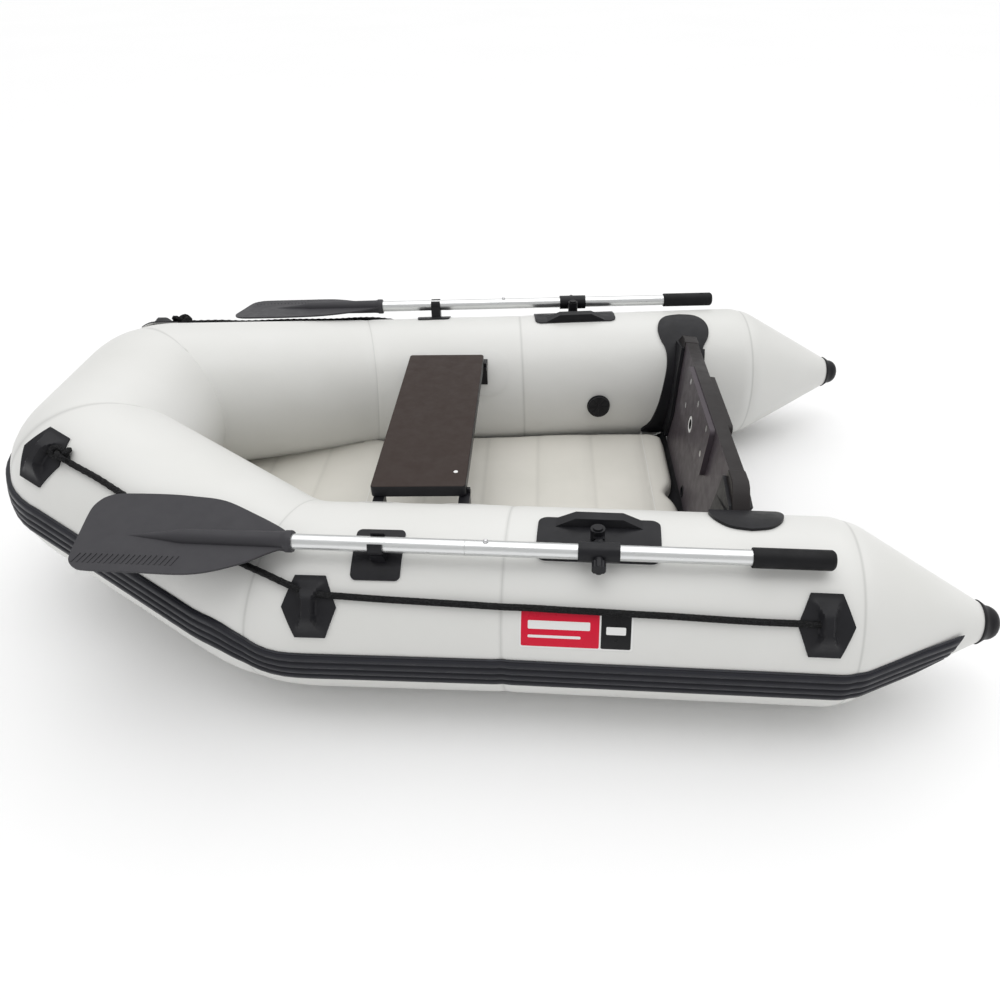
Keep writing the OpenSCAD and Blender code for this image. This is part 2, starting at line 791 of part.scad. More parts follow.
module sleeve_knob(side)
    color([0.06, 0.06, 0.07])
        on_oar(side) translate([lock_u, 0, 0]) rotate([-side * knob_ang, 0, 0]) {
            translate([0, 0, shaft_d / 2 + run_gap]) cylinder(d = 6, h = 16);
            translate([0, 0, 25 + glue_gap])
                difference() {
                    cylinder(d = 25, h = 15);
                    for (a = [0 : 60 : 300])
                        rotate(a) translate([14.5, 0, -1]) cylinder(d = 7, h = 17, $fn = 24);
                }
        }

// ---- Oar clips ----
clip_x = 846 + cx;
clip_ang = 24.5;
module oar_clip(side) {
    pad = [88, 100];
    arm_w = 25;
    clip_r = shaft_d / 2 + run_gap;
    a = oar_a(side);
    b = oar_b(side);
    c = a + (b - a) * ((clip_x + shift(side)) - a.x) / (b.x - a.x);
    color([0.09, 0.09, 0.1]) {
        difference() {
            union() {
                on_tube(2, side, clip_x + shift(side) - P1.x, clip_ang)
                    tube_patch(4) rounded_rect(pad.x, pad.y, 10);
                translate(c) rotate([0, 0, azimuth(b - a)]) {
                    rotate([-side * clip_ang, 0, 0])
                        translate([-arm_w / 2, -clip_r - 5, -32]) cube([arm_w, 2 * clip_r + 10, 26]);
                    rotate([0, 90, 0]) cylinder(r = clip_r + 5, h = arm_w, center = true);
                }
            }
            section_bar(2, side, R + glue_gap);
            translate(c) rotate([0, 0, azimuth(b - a)]) {
                rotate([0, 90, 0]) cylinder(r = clip_r, h = 100, center = true);
                rotate([-side * 8, 0, 0]) translate([-50, -clip_r + 1, 0]) cube([100, 2 * clip_r - 2, 60]);
            }
        }
    }
}

// ---- Grab rope and its pads ----
pad_base = 4;
bridge_h = 15;
bridge_up = 14;
// [section, distance along it, angle, turn of the hexagon, the rope points beside it]
rope_pads = [[1, 22, 41, 30, [0, 1]], [2, 84, 56, 0, [10, 11, 12]], [3, 546, 56, 0, [25, 26]]];

module hex_outline()
    polygon([[-hex_w * 0.28, hex_h / 2], [hex_w * 0.28, hex_h / 2], [hex_w / 2, 0],
        [hex_w * 0.28, -hex_h / 2], [-hex_w * 0.28, -hex_h / 2], [-hex_w / 2, 0]]);

// Hexagonal pad with a raised bridge that the rope runs under.
module rope_pad(side, p) {
    over = 2.3;
    difference() {
        on_tube(p[0], side, p[1], p[2])
            difference() {
                union() {
                    tube_patch(pad_base) rotate(-side * p[3]) hex_outline();
                    translate([0, -side * bridge_up, R + glue_gap])
                        rotate([0, 90, 0]) linear_extrude(30, center = true)
                            polygon([[0, -34], [-bridge_h, -20], [-bridge_h, 20], [0, 34]]);
                }
                rotate([0, 90, 0]) cylinder(r = R + glue_gap, h = 200, center = true, $fn = 96);
            }
        for (k = p[4]) along(rope_at(k, side), rope_at(k + 1, side))
            translate([-over, 0, 0]) rotate([0, 90, 0])
                cylinder(d = rope_d + 4 * glue_gap + (k % 2) * glue_gap,
                    h = norm(rope_at(k + 1, side) - rope_at(k, side)) + 2 * over);
    }
}

module rope_pads_of(side)
    color([0.08, 0.08, 0.09]) for (p = rope_pads) rope_pad(side, p);

// Route of the rope on the starboard side, from the bow pad to the aft pad.
rope_points = [[158, 300, 426], [197, 316, 423], [240, 340, 414], [289, 366, 404], [332, 390, 392],
    [374, 415, 382], [432, 450, 370], [492, 484, 356], [550, 514, 344], [606, 543, 335],
    [650, 562, 327], [690, 577, 316], [728, 587, 305], [790, 591, 300], [860, 597, 298],
    [930, 602, 296], [1000, 608, 295], [1059, 612, 293], [1115, 616, 293], [1175, 621, 292],
    [1232, 625, 291], [1290, 630, 290], [1347, 634, 289], [1403, 639, 288], [1460, 644, 287],
    [1515, 648, 286], [1571, 652, 286], [1624, 657, 286]];

function rope_at(k, side) = [rope_points[k].x + cx, side * rope_points[k].y, rope_points[k].z];
function rope_dir(k, side) =
    let (a = max(0, k - 1), b = min(len(rope_points) - 1, k + 1))
    unit(rope_at(b, side) - rope_at(a, side));

module grab_rope(side) {
    sides = 8;
    rings = len(rope_points);
    pts = [for (k = [0 : rings - 1])
        let (t = rope_dir(k, side), u = unit(cross(t, [0, 0, 1])), v = cross(u, t))
        for (j = [0 : sides - 1])
            rope_at(k, side) + rope_d / 2 * (cos(360 * j / sides) * u + sin(360 * j / sides) * v)];
    walls = [for (k = [0 : rings - 2], j = [0 : sides - 1])
        let (n = (j + 1) % sides)
        [k * sides + j, k * sides + n, (k + 1) * sides + n, (k + 1) * sides + j]];
    ends = [[for (j = [sides - 1 : -1 : 0]) j], [for (j = [0 : sides - 1]) (rings - 1) * sides + j]];
    color([0.05, 0.05, 0.05]) polyhedron(pts, concat(walls, ends));
}

// ---- Decals ----
decal_s = 125;
module side_decals()
    color([0.8, 0.05, 0.12])
        for (side = SIDES)
            on_tube(3, side, decal_s, 64.5)
                tube_patch(0.6) rounded_rect(197, 70, 4);

tube_section(0, PORT);  // bow_tube
tube_section(1, PORT);  // port_bow_tube
tube_section(1, STARBOARD);  // starboard_bow_tube
tube_section(2, PORT);  // port_mid_tube
tube_section(2, STARBOARD);  // starboard_mid_tube
tube_section(3, PORT);  // port_aft_tube
tube_section(3, STARBOARD);  // starboard_aft_tube
stern_cone(PORT);  // port_stern_cone
stern_cone(STARBOARD);  // starboard_stern_cone
bow_baffle();
stern_end_caps();
rub_strake();
air_deck();
deck_webs();
bottom_sheet();
transom_board();
transom_inner_pad();
transom_outer_pad();
transom_pad_bolts();
transom_holder(PORT);  // port_transom_holder
transom_holder(STARBOARD);  // starboard_transom_holder
drain_socket();
drain_plug();
line_grommet();
seat_board();
seat_hooks();
seat_hook_patches();
valve_body(PORT);  // port_valve_body
valve_body(STARBOARD);  // starboard_valve_body
valve_poppet(PORT);  // port_valve_poppet
valve_poppet(STARBOARD);  // starboard_valve_poppet
valve_cap(PORT);  // port_valve_cap
valve_cap(STARBOARD);  // starboard_valve_cap
oarlock_base(PORT);  // port_oarlock_base
oarlock_base(STARBOARD);  // starboard_oarlock_base
oarlock_pin(PORT);  // port_oarlock_pin
oarlock_pin(STARBOARD);  // starboard_oarlock_pin
oarlock_yoke(PORT);  // port_oarlock_yoke
oarlock_yoke(STARBOARD);  // starboard_oarlock_yoke
oar_sleeve(PORT);  // port_oar_sleeve
oar_sleeve(STARBOARD);  // starboard_oar_sleeve
sleeve_knob(PORT);  // port_sleeve_knob
sleeve_knob(STARBOARD);  // starboard_sleeve_knob
oar_blade(PORT);  // port_oar_blade
oar_blade(STARBOARD);  // starboard_oar_blade
shaft_front(PORT);  // port_shaft_front
shaft_front(STARBOARD);  // starboard_shaft_front
shaft_rear(PORT);  // port_shaft_rear
shaft_rear(STARBOARD);  // starboard_shaft_rear
snap_button(PORT);  // port_snap_button
snap_button(STARBOARD);  // starboard_snap_button
oar_grip(PORT);  // port_oar_grip
oar_grip(STARBOARD);  // starboard_oar_grip
oar_clip(PORT);  // port_oar_clip
oar_clip(STARBOARD);  // starboard_oar_clip
rope_pads_of(PORT);  // port_rope_pads
rope_pads_of(STARBOARD);  // starboard_rope_pads
grab_rope(PORT);  // port_grab_rope
grab_rope(STARBOARD);  // starboard_grab_rope
side_decals();
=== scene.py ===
import bpy
import bmesh
import math
from mathutils import Matrix, Vector, noise


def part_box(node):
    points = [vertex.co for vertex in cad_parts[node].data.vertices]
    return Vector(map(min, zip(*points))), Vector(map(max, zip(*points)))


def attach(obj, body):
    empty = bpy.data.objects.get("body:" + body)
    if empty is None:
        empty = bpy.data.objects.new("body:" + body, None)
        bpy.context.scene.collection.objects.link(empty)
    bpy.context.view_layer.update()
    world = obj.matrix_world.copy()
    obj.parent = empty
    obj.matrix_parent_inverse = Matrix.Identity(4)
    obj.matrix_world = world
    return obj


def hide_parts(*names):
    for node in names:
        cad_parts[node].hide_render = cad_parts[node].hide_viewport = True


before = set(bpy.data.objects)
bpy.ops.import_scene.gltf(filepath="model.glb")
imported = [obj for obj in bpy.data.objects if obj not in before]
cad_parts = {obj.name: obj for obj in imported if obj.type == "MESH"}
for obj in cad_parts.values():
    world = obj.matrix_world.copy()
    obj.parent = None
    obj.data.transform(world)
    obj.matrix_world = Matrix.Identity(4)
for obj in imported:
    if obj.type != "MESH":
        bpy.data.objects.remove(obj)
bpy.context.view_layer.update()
mm = 0.001
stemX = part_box("bow_tube")[0].x  # foremost point of the bow tube
port, starboard = -1, 1
sideName = {port: "port", starboard: "starboard"}

# hull axis: millimetres aft of the stem, outboard of the centreline and up
hull = {
    "tubeRadius": 180,
    "keys": [
        (180, 0, 285), (180, 180, 285), (640, 442, 180),
        (1070, 464, 180), (1690, 508, 180), (1970, 530, 168),
    ],
    "bendReach": [52, 75, 45, 32],  # how far each bend is rounded, from the bow aft
    "tipRadius": 31,
    "fabricEnd": 272,  # length of the cone's fabric, which ends under the cup
    "around": 96,
    "spacing": 17,
    "seamPinch": 1.4,
    "seamReach": 10,
    "seamLine": 2.2,
    "ripple": 0.4,
    "puckers": 0.5,
    "puckerReach": 20,
}
tubeR = hull["tubeRadius"] * mm


def hullKey(k, side):
    x, y, z = hull["keys"][k]
    return Vector((stemX + x * mm, side * y * mm, z * mm))


def uprightAxes(tangent, side):  # up and outboard, square to the tube
    up = (Vector((0, 0, 1)) - tangent * tangent.z).normalized()
    return up, side * up.cross(tangent)


class Station:  # one ring of the hull: where it is, which way it faces and how big it is
    def __init__(self, centre, tangent, radius, side, leg):
        self.centre, self.tangent, self.radius, self.leg = centre, tangent, radius, leg
        self.up, self.out = uprightAxes(tangent, side)
        self.run, self.seam, self.fromSeam = 0.0, 0.0, 0.0

    def at(self, degrees, lift=0.0):  # a point on the skin, at an angle outboard of the top
        a = math.radians(degrees)
        return self.centre + (self.radius + lift) * (math.cos(a) * self.up + math.sin(a) * self.out)


# places along a bend, closer together near the seam in its middle
bendSteps = [0, 0.1, 0.2, 0.3, 0.38, 0.44, 0.48, 0.5, 0.52, 0.56, 0.62, 0.7, 0.8, 0.9, 1]


def hullStations(side):
    keys = [hullKey(k, side) for k in range(6)]
    radii = [tubeR] * 5 + [hull["tipRadius"] * mm]
    reach = [0] + [r * mm for r in hull["bendReach"]] + [0]
    rows = []

    def add(centre, tangent, radius, leg):
        rows.append(Station(centre, tangent.normalized(), radius, side, leg))

    for leg in range(5):
        a, b = keys[leg], keys[leg + 1]
        way = (b - a).normalized()
        length = (b - a).length
        first, last = reach[leg], length - reach[leg + 1]
        steps = max(2, round((last - first) / (hull["spacing"] * mm)))
        for k in range(steps + 1):
            d = first + (last - first) * k / steps
            add(a + way * d, way, radii[leg] + (radii[leg + 1] - radii[leg]) * d / length, leg)
        if leg < 4:
            nextWay = (keys[leg + 2] - b).normalized()
            nextLength = (keys[leg + 2] - b).length
            near, far = b - way * reach[leg + 1], b + nextWay * reach[leg + 1]
            rNear = rows[-1].radius
            rFar = radii[leg + 1] + (radii[leg + 2] - radii[leg + 1]) * reach[leg + 1] / nextLength
            for t in bendSteps[1:-1]:
                centre = near * (1 - t) ** 2 + b * 2 * t * (1 - t) + far * t * t
                tangent = (b - near) * (1 - t) + (far - b) * t
                radius = rNear * (1 - t) ** 2 + radii[leg + 1] * 2 * t * (1 - t) + rFar * t * t
                add(centre, tangent, radius, leg + (1 if t > 0.5 else 0))
                if t == 0.5:
                    rows[-1].seam = 1.0
    for before, this in zip(rows, rows[1:]):
        this.run = before.run + (this.centre - before.centre).length
    seams = [s.run for s in rows if s.seam]
    for s in rows:
        s.fromSeam = min(abs(s.run - q) for q in seams)
        s.radius -= hull["seamPinch"] * mm * math.exp(-((s.fromSeam / (hull["seamReach"] * mm)) ** 2))
        s.seam = math.exp(-((s.fromSeam / (hull["seamLine"] * mm)) ** 2))
    return rows


stations = {side: hullStations(side) for side in sideName}


def stationAt(side, leg, along):  # a station on a straight leg, at a distance from the leg's start
    a, b = hullKey(leg, side), hullKey(leg + 1, side)
    way = (b - a).normalized()
    return Station(a + way * along, way, tubeR, side, leg)


def newFinish(name):
    made = bpy.data.materials.new(name)
    made.use_nodes = True
    tree = made.node_tree
    return made, tree, tree.nodes["Principled BSDF"]


def addNode(tree, kind, **values):
    node = tree.nodes.new(kind)
    for key, value in values.items():
        if key in node.inputs:
            node.inputs[key].default_value = value
        else:
            setattr(node, key, value)
    return node


def noiseOn(tree, scale, detail=3.0, rough=0.55, stretch=(1, 1, 1)):
    place = addNode(tree, "ShaderNodeTexCoord")
    spread = addNode(tree, "ShaderNodeMapping")
    spread.inputs["Scale"].default_value = stretch
    cloud = addNode(tree, "ShaderNodeTexNoise", Scale=scale, Detail=detail, Roughness=rough)
    tree.links.new(place.outputs["Object"], spread.inputs["Vector"])
    tree.links.new(spread.outputs["Vector"], cloud.inputs["Vector"])
    return cloud.outputs["Fac"]


def rampOn(tree, source, stops):
    ramp = tree.nodes.new("ShaderNodeValToRGB")
    while len(ramp.color_ramp.elements) < len(stops):
        ramp.color_ramp.elements.new(0.5)
    for element, (spot, colour) in zip(ramp.color_ramp.elements, stops):
        element.position = spot
        element.color = (*colour, 1)
    tree.links.new(source, ramp.inputs["Fac"])
    return ramp.outputs["Color"]


def rangeOn(tree, source, low, high, fromLow=0.3, fromHigh=0.7):
    span = tree.nodes.new("ShaderNodeMapRange")
    for key, value in (("From Min", fromLow), ("From Max", fromHigh), ("To Min", low), ("To Max", high)):
        span.inputs[key].default_value = value
    tree.links.new(source, span.inputs["Value"])
    return span.outputs["Result"]


def bumpOn(tree, shader, layers):  # layers of (height, strength, distance)
    last = None
    for height, strength, distance in layers:
        bump = addNode(tree, "ShaderNodeBump", Strength=strength, Distance=distance)
        tree.links.new(height, bump.inputs["Height"])
        if last:
            tree.links.new(last, bump.inputs["Normal"])
        last = bump.outputs["Normal"]
    tree.links.new(last, shader.inputs["Normal"])


def weaveOn(tree, pitch):  # the faint square cloth under a coated skin
    place = addNode(tree, "ShaderNodeTexCoord")
    cloth = tree.nodes.new("ShaderNodeTexVoronoi")
    cloth.distance = "CHEBYCHEV"
    cloth.inputs["Scale"].default_value = 1 / pitch
    cloth.inputs["Randomness"].default_value = 0.15
    tree.links.new(place.outputs["Object"], cloth.inputs["Vector"])
    return cloth.outputs["Distance"]


def seamDarkened(tree, colour, amount, tint):
    mark = tree.nodes.new("ShaderNodeAttribute")
    mark.attribute_name = "seam"
    scale = tree.nodes.new("ShaderNodeMath")
    scale.operation = "MULTIPLY"
    scale.inputs[1].default_value = amount
    tree.links.new(mark.outputs["Fac"], scale.inputs[0])
    mix = tree.nodes.new("ShaderNodeMix")
    mix.data_type = "RGBA"
    tree.links.new(scale.outputs[0], mix.inputs["Factor"])
    tree.links.new(colour, mix.inputs["A"])
    mix.inputs["B"].default_value = (*tint, 1)
    return mix.outputs["Result"]


weave = {"pitch": 0.0011, "depth": 0.00003}


def coatedFabric(name, pale, deep, roughness, seams=0.0):
    made, tree, shader = newFinish(name)
    patches = rampOn(tree, noiseOn(tree, 2.6, 4), [(0.32, deep), (0.62, pale)])
    if seams:
        patches = seamDarkened(tree, patches, seams, tuple(c * 0.55 for c in deep))
    tree.links.new(patches, shader.inputs["Base Color"])
    dull = rangeOn(tree, noiseOn(tree, 9, 4), roughness - 0.05, roughness + 0.06)
    tree.links.new(dull, shader.inputs["Roughness"])
    shader.inputs["Coat Weight"].default_value = 0.12
    shader.inputs["Coat Roughness"].default_value = 0.35
    cloth = weaveOn(tree, weave["pitch"])
    bumpOn(tree, shader, [(cloth, 0.25, weave["depth"]), (noiseOn(tree, 14, 3), 0.2, 0.0012)])
    return made


def mouldedPlastic(name, colour, roughness, grain, grainDepth=0.00006, scuff=1.4, gloss=0.22):
    made, tree, shader = newFinish(name)
    worn = tuple(min(1, c * scuff) for c in colour)
    shade = rampOn(tree, noiseOn(tree, 24, 6, 0.6), [(0.38, colour), (0.72, worn)])
    tree.links.new(shade, shader.inputs["Base Color"])
    dull = rangeOn(tree, noiseOn(tree, 40, 5), roughness - 0.06, roughness + 0.1)
    tree.links.new(dull, shader.inputs["Roughness"])
    shader.inputs["Specular IOR Level"].default_value = gloss
    bumpOn(tree, shader, [(noiseOn(tree, grain, 2), 0.3, grainDepth), (noiseOn(tree, 60, 3), 0.12, 0.0003)])
    return made


def drawnAluminium(name):
    made, tree, shader = newFinish(name)
    streaks = noiseOn(tree, 4, 3, 0.5, (0.5, 70, 70))
    shade = rampOn(tree, streaks, [(0.3, (0.70, 0.71, 0.71)), (0.7, (0.76, 0.77, 0.77))])
    tree.links.new(shade, shader.inputs["Base Color"])
    tree.links.new(rangeOn(tree, streaks, 0.26, 0.36), shader.inputs["Roughness"])
    shader.inputs["Metallic"].default_value = 0.92
    bumpOn(tree, shader, [(streaks, 0.04, 0.00005)])
    return made


def brightSteel(name):
    made, tree, shader = newFinish(name)
    cloud = noiseOn(tree, 300, 3)
    shade = rampOn(tree, cloud, [(0.3, (0.62, 0.62, 0.63)), (0.7, (0.8, 0.8, 0.81))])
    tree.links.new(shade, shader.inputs["Base Color"])
    tree.links.new(rangeOn(tree, cloud, 0.22, 0.34), shader.inputs["Roughness"])
    shader.inputs["Metallic"].default_value = 1.0
    return made


def braidedCord(name):
    made, tree, shader = newFinish(name)
    strands = noiseOn(tree, 700, 3)
    shade = rampOn(tree, strands, [(0.45, (0.003, 0.003, 0.003)), (0.68, (0.035, 0.035, 0.037))])
    tree.links.new(shade, shader.inputs["Base Color"])
    tree.links.new(rangeOn(tree, noiseOn(tree, 500, 2), 0.6, 0.8), shader.inputs["Roughness"])
    shader.inputs["Specular IOR Level"].default_value = 0.12
    bumpOn(tree, shader, [(noiseOn(tree, 900, 2), 0.5, 0.0003)])
    return made


finish = {
    "hull": coatedFabric("hullFabric", (0.735, 0.735, 0.715), (0.70, 0.70, 0.675), 0.44, seams=0.45),
    "patch": coatedFabric("patchFabric", (0.725, 0.725, 0.705), (0.70, 0.70, 0.68), 0.4),
    "deck": coatedFabric("deckFabric", (0.70, 0.68, 0.625), (0.62, 0.605, 0.55), 0.5, seams=0.25),
    "bottom": coatedFabric("bottomFabric", (0.5, 0.51, 0.5), (0.42, 0.43, 0.43), 0.55),
    "strake": mouldedPlastic("strakeRubber", (0.012, 0.0125, 0.018), 0.4, 900, scuff=1.15, gloss=0.32),
    "rubber": mouldedPlastic("blackRubber", (0.012, 0.012, 0.014), 0.42, 1100),
    "board": mouldedPlastic("transomPlastic", (0.066, 0.055, 0.064), 0.36, 1500, scuff=1.08),
    "edge": mouldedPlastic("transomEdge", (0.019, 0.016, 0.016), 0.34, 1500, scuff=1.1),
    "seat": mouldedPlastic("seatPlastic", (0.034, 0.022, 0.018), 0.52, 900, 0.00008, scuff=1.02),
    "black": mouldedPlastic("blackPlastic", (0.011, 0.011, 0.013), 0.36, 1300),
    "blade": mouldedPlastic("bladePlastic", (0.046, 0.045, 0.050), 0.48, 1600, scuff=1.02),
    "grip": mouldedPlastic("gripRubber", (0.006, 0.006, 0.007), 0.55, 700, 0.00012),
    "shaft": drawnAluminium("shaftAluminium"),
    "steel": brightSteel("brightSteel"),
    "cord": braidedCord("braidedCord"),
    "red": mouldedPlastic("redLabel", (0.62, 0.008, 0.035), 0.3, 400, 0.00002, scuff=1.08),
    "labelBlack": mouldedPlastic("blackLabel", (0.008, 0.008, 0.009), 0.3, 400, 0.00002),
    "white": mouldedPlastic("whitePlastic", (0.8, 0.8, 0.79), 0.35, 700, 0.00003, scuff=1.0),
}
print("finishes made:", len(finish))


def toPiece(name, bm, finishes, body="hull", stands=(), crease=38, outward=True):
    if outward:
        bmesh.ops.recalc_face_normals(bm, faces=bm.faces)
    for e in bm.edges:
        e.smooth = len(e.link_faces) == 2 and e.calc_face_angle(0) < math.radians(crease)
    for f in bm.faces:
        f.smooth = True
    mesh = bpy.data.meshes.new(name)
    bm.to_mesh(mesh)
    bm.free()
    piece = bpy.data.objects.new(name, mesh)
    bpy.context.scene.collection.objects.link(piece)
    for f in finishes:
        mesh.materials.append(finish[f])
    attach(piece, body)
    if stands:
        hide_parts(*stands)
    return piece


def vertsIn(geom):
    return [g for g in geom if isinstance(g, bmesh.types.BMVert)]


def extrudeRim(bm, edges):  # gives the new verts and the edges between them
    made = bmesh.ops.extrude_edge_only(bm, edges=edges)["geom"]
    new = set(vertsIn(made))
    return new, [g for g in made if isinstance(g, bmesh.types.BMEdge) and all(v in new for v in g.verts)]


def pourInto(target, part):  # adds a part to a mesh that holds several
    spare = bpy.data.meshes.new("spare")
    part.to_mesh(spare)
    part.free()
    target.from_mesh(spare)
    bpy.data.meshes.remove(spare)


def addBevel(piece, width, steps=2, degrees=36, harden=True):
    edge = piece.modifiers.new("roundedEdges", "BEVEL")
    edge.width, edge.segments, edge.limit_method = width * mm, steps, "ANGLE"
    edge.angle_limit = math.radians(degrees)
    edge.harden_normals = harden


def sweep(bm, rows, count, place, mark=None):  # a tube with a ring at each row, closed at both ends
    order = bm.verts.layers.int.new("order")
    ring = bmesh.ops.create_circle(bm, cap_ends=False, segments=count, radius=1)["verts"]
    for k, v in enumerate(ring):
        v[order] = k
        v.co = place(rows[0], k)
        if mark:
            mark(v, rows[0])
    edges = list({e for v in ring for e in v.link_edges})
    firstEdges = edges
    for row in rows[1:]:
        new, edges = extrudeRim(bm, edges)
        for v in new:
            v.co = place(row, v[order])
            if mark:
                mark(v, row)
    for loop in (firstEdges, edges):
        bmesh.ops.edgeloop_fill(bm, edges=loop)


def softened(node, name, look, width, body):  # a copy of a node's mesh with rounded edges
    bm = bmesh.new()
    bm.from_mesh(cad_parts[node].data)
    bmesh.ops.remove_doubles(bm, verts=bm.verts, dist=0.00001)
    bmesh.ops.dissolve_limit(bm, angle_limit=math.radians(0.6), verts=bm.verts, edges=bm.edges)
    piece = toPiece(name, bm, [look], body, stands=[node], crease=40, outward=False)
    addBevel(piece, width)
    return piece


def gridPlate(bm, outline, thick, step=10):  # a flat plate, cut into a grid so that it can bend
    xs = [p[0] for p in outline]
    ys = [p[1] for p in outline]
    bm.faces.new([bm.verts.new((x * mm, y * mm, 0)) for x, y in outline])
    for axis, low, high in ((0, min(xs), max(xs)), (1, min(ys), max(ys))):
        cuts = max(1, int((high - low) / step))
        normal = Vector((0, 0, 0))
        normal[axis] = 1
        for k in range(1, cuts):
            spot = normal * ((low + (high - low) * k / cuts) * mm)
            everything = bm.verts[:] + bm.edges[:] + bm.faces[:]
            bmesh.ops.bisect_plane(bm, geom=everything, dist=1e-7, plane_co=spot, plane_no=normal)
    grown = bmesh.ops.extrude_face_region(bm, geom=bm.faces[:] + bm.edges[:])["geom"]
    bmesh.ops.translate(bm, verts=vertsIn(grown), vec=(0, 0, thick * mm))


def roundedOutline(w, h, r, steps=6):
    spots = []
    x, y = w / 2 - r, h / 2 - r
    for cx, cy, start in ((x, y, 0), (-x, y, 90), (-x, -y, 180), (x, -y, 270)):
        for k in range(steps + 1):
            a = math.radians(start + 90 * k / steps)
            spots.append((cx + r * math.cos(a), cy + r * math.sin(a)))
    return spots


def through(a, b, c, d, t):  # a smooth curve from b to c, aimed by the spots before and after
    bend = (2 * a - 5 * b + 4 * c - d) * t * t
    return 0.5 * (2 * b + (c - a) * t + bend + (3 * b - 3 * c + d - a) * t ** 3)


def smoothLoop(spots, steps=6):
    smooth = []
    n = len(spots)
    for k in range(n - 1):
        a, b, c, d = (Vector(spots[max(0, min(n - 1, j))]) for j in (k - 1, k, k + 1, k + 2))
        for j in range(steps):
            q = through(a, b, c, d, j / steps)
            smooth.append((q.x, q.y))
    return smooth + [spots[-1]]


def wrapOnTube(bm, side, leg, along, degrees, turn=0.0):
    base = stationAt(side, leg, along * mm)
    c, s = math.cos(math.radians(turn)), math.sin(math.radians(turn))
    for v in bm.verts:
        x, y, h = v.co.x * c - v.co.y * s, v.co.x * s + v.co.y * c, v.co.z
        a = degrees + math.degrees(y / tubeR)
        v.co = base.at(a, 0.0004 + h) + base.tangent * x


def wrappedInto(target, outline, thick, side, leg, along, degrees, turn=0.0, step=9, shape=None):
    part = bmesh.new()
    gridPlate(part, outline, thick, step)
    if shape:
        for v in part.verts:
            shape(v)
    wrapOnTube(part, side, leg, along, degrees, turn)
    pourInto(target, part)


def onSeam(row):
    return row.seam > 0.99


def sectionsOf(side):  # the rows of each leg, split where the seams are
    parts, part = [], []
    for row in stations[side]:
        part.append(row)
        if onSeam(row):
            parts.append(part)
            part = [row]
    return parts + [part]


def skinPoint(row, k):
    a = 2 * math.pi * k / hull["around"]
    ripple = noise.noise(row.centre * 9 + Vector((math.cos(a), math.sin(a), 0)) * 2.4)
    nearSeam = math.exp(-((row.fromSeam / (hull["puckerReach"] * mm)) ** 2))
    pucker = noise.noise(Vector((k * 0.9, row.run * 3, row.leg * 7))) * nearSeam
    return row.at(math.degrees(a), (hull["ripple"] * ripple + hull["puckers"] * pucker) * mm)


def tubePiece(name, rows, node):
    bm = bmesh.new()
    mark = bm.verts.layers.float.new("seam")

    def note(v, row):
        v[mark] = row.seam

    sweep(bm, rows, hull["around"], skinPoint, note)
    return toPiece(name, bm, ["hull"], stands=[node], crease=60)


legNames = ["bow_tube", "mid_tube", "aft_tube"]
for side, name in sideName.items():
    parts = sectionsOf(side)
    for k, node in enumerate(legNames):
        tubePiece(f"{name}_{node}_skin", parts[k + 1], f"{name}_{node}")
    cone = [r for r in parts[4] if (r.centre - hullKey(4, side)).length < hull["fabricEnd"] * mm]
    tubePiece(f"{name}_cone_skin", cone, f"{name}_stern_cone")
bowRows = sectionsOf(port)[0][::-1] + sectionsOf(starboard)[0][1:]
tubePiece("bow_tube_skin", bowRows, "bow_tube")
print("tubes made")

# rubber cup over the tip of each cone
cup = {"start": 264, "wall": 2.6, "nose": 26, "around": 72}
bm = bmesh.new()
for side in sideName:
    a, b = hullKey(4, side), hullKey(5, side)
    way, length = (b - a).normalized(), (b - a).length / mm
    slope = (hull["tubeRadius"] - hull["tipRadius"]) / length
    first, blunt = cup["start"], hull["tipRadius"] + cup["wall"] - 0.6

    def outside(s):
        return hull["tubeRadius"] - slope * s + cup["wall"]

    shape = [(first + s, outside(first) + h) for s, h in ((1, -4), (0, -2), (0.3, -0.4), (1.4, -0.1))]
    shape.append((first + 8, outside(first + 8)))
    for k in range(11):
        t = math.radians(90 * k / 10.6)
        shape.append((length - 1 + cup["nose"] * math.sin(t), blunt * math.cos(t) ** 0.75))
    rows = [Station(a + way * s * mm, way, r * mm, side, 4) for s, r in shape]
    part = bmesh.new()
    sweep(part, rows, cup["around"], lambda row, k: row.at(360 * k / cup["around"]))
    pourInto(bm, part)
toPiece("stern_cups", bm, ["rubber"], stands=["stern_end_caps"], crease=50)
print("cups made")

# ribbed rubber band round the outside of the hull
strake = {
    "width": 70,
    "foot": 0.35,
    "lip": 2.2,
    "brim": 4.2,
    "valley": 3.4,
    "top": 7.0,
    "ribs": [-25, -8.3, 8.3, 25],
    "rib": 5.2,
    "flank": 1.6,
    "middles": [80, 84, 96, 96, 96],  # degrees outboard of the top, for each section from the bow aft
    "blend": 90,
    "end": 214,
    "slantFrom": 130,
    "slantOver": 84,
    "lean": 0.32,
    "thinnest": 0.3,
}


def strakeProfile():
    half, w, flank = strake["width"] / 2, strake["rib"], strake["flank"]
    valley, top = strake["valley"], strake["top"]
    spots = [(-half, strake["foot"]), (-half, strake["lip"]), (1 - half, strake["brim"])]
    for middle in strake["ribs"]:
        spots += [(middle - w - flank, valley), (middle - w, top - 1.2), (middle - w + flank, top)]
        spots += [(middle + w - flank, top), (middle + w, top - 1.2), (middle + w + flank, valley)]
    return spots + [(half - 1, strake["brim"]), (half, strake["lip"]), (half, strake["foot"])]


strakeSpots = strakeProfile()


